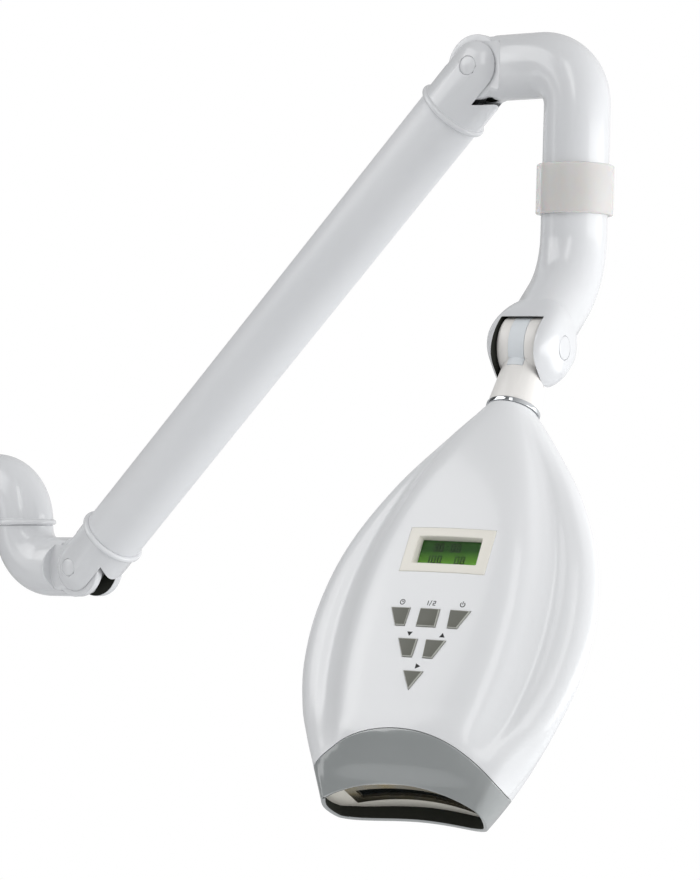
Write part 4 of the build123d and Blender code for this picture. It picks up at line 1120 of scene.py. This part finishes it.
def printed_marks():
    """A small printed sign over each key: clock, one and two, power, down, up and play."""
    ring = arc(1.6, 4, 356, 0.45)
    signs = [(-17.4, 127.6, [ring, bar(-0.2, 0.2, 0, 1.0), bar(0, 0.8, -0.2, 0.2)]),
             (0.0, 127.6, [bar(-2.5, -2.05, -1.3, 1.3), [(-1.4, -1.5), (-1.0, -1.5), (-0.1, 1.5), (-0.5, 1.5)],
                           bar(0.6, 2.2, 0.9, 1.3), bar(1.8, 2.2, 0, 0.9), bar(0.6, 2.2, -0.2, 0.2),
                           bar(0.6, 1.0, -0.9, -0.2), bar(0.6, 2.2, -1.3, -0.9)]),
             (17.6, 127.4, [arc(1.5, 38, 322, 0.45), bar(-0.22, 0.22, 0.1, 1.8)]),
             (-8.1, 145.4, [[(-1.6, 1.1), (1.6, 1.1), (0, -1.4)]]),
             (10.9, 145.4, [[(-1.6, -1.1), (1.6, -1.1), (0, 1.4)]]),
             (1.6, 163.3, [[(-1.2, -1.5), (-1.2, 1.5), (1.6, 0)]])]
    out = []
    for x, t, outlines_here in signs:
        for corners in outlines_here:
            bm = prism(placed(corners, x, t), -1.0, 0.0)
            for vert in bm.verts:
                vert.co.y = front_y(vert.co.x, -vert.co.z) + (-0.06 if vert.co.y < -0.5 else 0.3)
            out.append(bm)
    return gathered(*out)


# The pieces that are drawn here. What only shows at the joints keeps its CAD solid, further below

# Painted shade: the olive-black finish for the insides of the hinges' slots and the nozzle
painted_shade = painted_shade_lining()
white = [moulded_abs(), painted_shade]
lacquer = head_lacquer()

piece("base_elbow_body", base_elbow(), AT_BASE, "base", white, ["base_elbow"])
piece("lower_elbow_body", lower_elbow(), AT_LOWER, "lower_elbow", white, ["lower_elbow"])
piece("lower_cap", end_cap(LOWER_LIP_X, True), AT_ARM, "arm", white, ["lower_arm_cap"])
AT_ARM_END = AT_ARM @ shift(ARM_LENGTH, 0, 0) @ Matrix.Scale(-1, 4, (1, 0, 0))
upper_cap = end_cap(UPPER_LIP_X, False)
bmesh.ops.reverse_faces(upper_cap, faces=upper_cap.faces)
piece("upper_cap", upper_cap, AT_ARM_END, "arm", white, ["upper_arm_cap"])
piece("pin_cover_discs", pin_covers(), AT_ARM, "arm", white, ["pin_covers"])
piece("tube", arm_tube(), AT_ARM @ ALONG_X, "arm", powder_coat(), ["arm_tube"])
piece("upper_elbow_body", upper_elbow(), AT_UPPER, "upper_elbow", white, ["upper_elbow"])
piece("sleeve", swivel_sleeve(), AT_UPPER @ shift(UPPER_REACH, 0, 0), "upper_elbow", frosted_silicone(),
      ["swivel_sleeve"])
piece("fork_body", fork(), AT_FORK, "fork", white, ["fork"])
piece("fork_cap_pair", fork_caps(), AT_TILT, "fork", white, ["fork_caps"])
piece("knuckle_body", knuckle(), AT_KNUCKLE, "knuckle", cream_acetal(), ["knuckle"])
piece("inlay_strip", knuckle_inlay(), AT_KNUCKLE, "knuckle", soft_inlay(), ["knuckle_inlay"])
piece("neck_ring", chrome_ring(), AT_KNUCKLE, "knuckle", polished_chrome(), ["chrome_ring"])

front_half, back_half = shells()
front_half = cut(front_half, *head_openings())
piece("front_cover", front_half, AT_HEAD, "head", lacquer, ["front_shell"])
piece("back_cover", back_half, AT_HEAD, "head", lacquer, ["back_shell"])
piece("mouth_shroud", nozzle(), AT_HEAD, "head", [grey_lacquer(), painted_shade], ["nozzle"])
piece("display_frame", bezel(), AT_HEAD, "head", bezel_abs(), ["lcd_bezel"])
key_finish = [key_rubber(), key_side_painted_highlight()]
for name, kind, x, row, mirrored in KEYS:
    piece(name + "_cap", key_cap(kind, x, row, mirrored), AT_HEAD, name, key_finish, [name])

ink = printed_ink()
piece("key_marks", printed_marks(), AT_HEAD, "head", ink, None)
piece("display_digits", display_figures(), AT_HEAD, "head", ink, None)
pane = slab(-DISPLAY_W / 2, DISPLAY_W / 2, PANE_FRONT, PANE_BACK,
            -DISPLAY_T - DISPLAY_H / 2, -DISPLAY_T + DISPLAY_H / 2)
piece("display_cover", pane, AT_HEAD, "head", display_pane(), ["lcd_glass"])

# CAD solids that stay as they are, each with its finish
CARRIED = {
    turned_steel(): ["socket_screws", "base_spindle", "base_spindle_clip", "lower_link_pins", "arm_hinge_pins",
                     "cap_screws", "spring_seat", "tie_link", "draw_rod", "balance_spring", "spring_nut",
                     "upper_link_pin", "head_spindle", "head_spindle_clip", "tilt_pin", "shell_screws",
                     "roll_spindle", "roll_nut"],
    acetal_bush(): ["base_swivel_bush", "lower_hinge_bushes", "upper_hinge_bushes", "head_swivel_bush",
                    "knuckle_bush", "roll_bush"],
    black_abs(): ["fan_frame", "fan_rotor", "key_switches"],
    solder_mask(): ["led_board", "control_board"],
    window_glass(): ["exit_window"],
    window_aluminium(): ["window_frame"],
    machined_aluminium(): ["heat_sink"],
    polished_chrome(): ["reflector"],
    emitter_silicone(): ["led_emitters"],
    deck_plastic(): ["mouth_deck"],
    display_glow(): ["lcd_module"],
}
for material, names in CARRIED.items():
    for name in names:
        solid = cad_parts[name]
        if not solid.material_slots:
            solid.data.materials.append(material)
        for held in solid.material_slots:
            held.material = material

# Stage, light and camera

FLOOR_AT = (0.3, 0, -0.78)      # below the lamp also where the arm hangs lowest
floor_mesh = bmesh.new()
bmesh.ops.create_circle(floor_mesh, cap_ends=True, segments=128, radius=2.8)
floor_mesh.transform(shift(*FLOOR_AT))
floor = as_object(floor_mesh, "studio_floor")
floor.data.materials.append(finish("pale_studio_floor", "#F2F3F4", Roughness=0.9)[0])

world = bpy.data.worlds.new("studio")
bpy.context.scene.world = world
world.use_nodes = True
sky = world.node_tree
sky.nodes.clear()
# A white sweep seen directly, and a room as a light, which is brighter to the camera's right and below
seen = node(sky, "ShaderNodeBackground", {"Color": (1, 1, 1, 1), "Strength": 1.0})
way = node(sky, "ShaderNodeTexCoord")
side = node(sky, "ShaderNodeVectorMath", {"operation": "DOT_PRODUCT", 1: (0.74, 0.58, -0.34)},
            {0: (way, "Generated")})
rise = node(sky, "ShaderNodeMapRange", {"From Min": -1.0, "From Max": 1.0, "To Min": 0.02, "To Max": 1.22},
            {"Value": (side, "Value")})
room = node(sky, "ShaderNodeBackground", {"Color": (1, 1, 1, 1)}, {"Strength": (rise, "Result")})
ray = node(sky, "ShaderNodeLightPath")
both = node(sky, "ShaderNodeMixShader",
            links={0: (ray, "Is Camera Ray"), 1: (room, "Background"), 2: (seen, "Background")})
node(sky, "ShaderNodeOutputWorld", links={"Surface": (both, "Shader")})

aim = Vector((0.42, -0.03, 0.03))
LAMPS = [("key_softbox", (-0.7, -1.3, 1.3), 1.6, 1.6, 17),
         ("left_strip", (-0.7, -1.0, 0.3), 0.3, 1.6, 1.8),
         ("front_strip", (1.05, -1.45, 1.1), 0.4, 1.4, 5),
         ("right_softbox", (1.65, 0.45, -0.1), 1.6, 0.7, 9.5)]
for name, where, wide, high, power in LAMPS:
    data = bpy.data.lights.new(name, "AREA")
    data.shape, data.size, data.size_y, data.energy = "RECTANGLE", wide, high, power
    lamp = bpy.data.objects.new(name, data)
    lamp.location = where
    lamp.rotation_euler = (aim - Vector(where)).to_track_quat("-Z", "Y").to_euler()
    bpy.context.scene.collection.objects.link(lamp)

camera_data = bpy.data.cameras.new("camera")
camera_data.lens = 126.7
camera_data.sensor_width = 36.0
camera = bpy.data.objects.new("camera", camera_data)
camera.location = (1.4544, -1.4349, -0.0240)
camera.rotation_euler = (radians(91.48), 0, radians(37.97))
bpy.context.scene.collection.objects.link(camera)
bpy.context.scene.camera = camera

bpy.context.scene.view_settings.view_transform = "Standard"
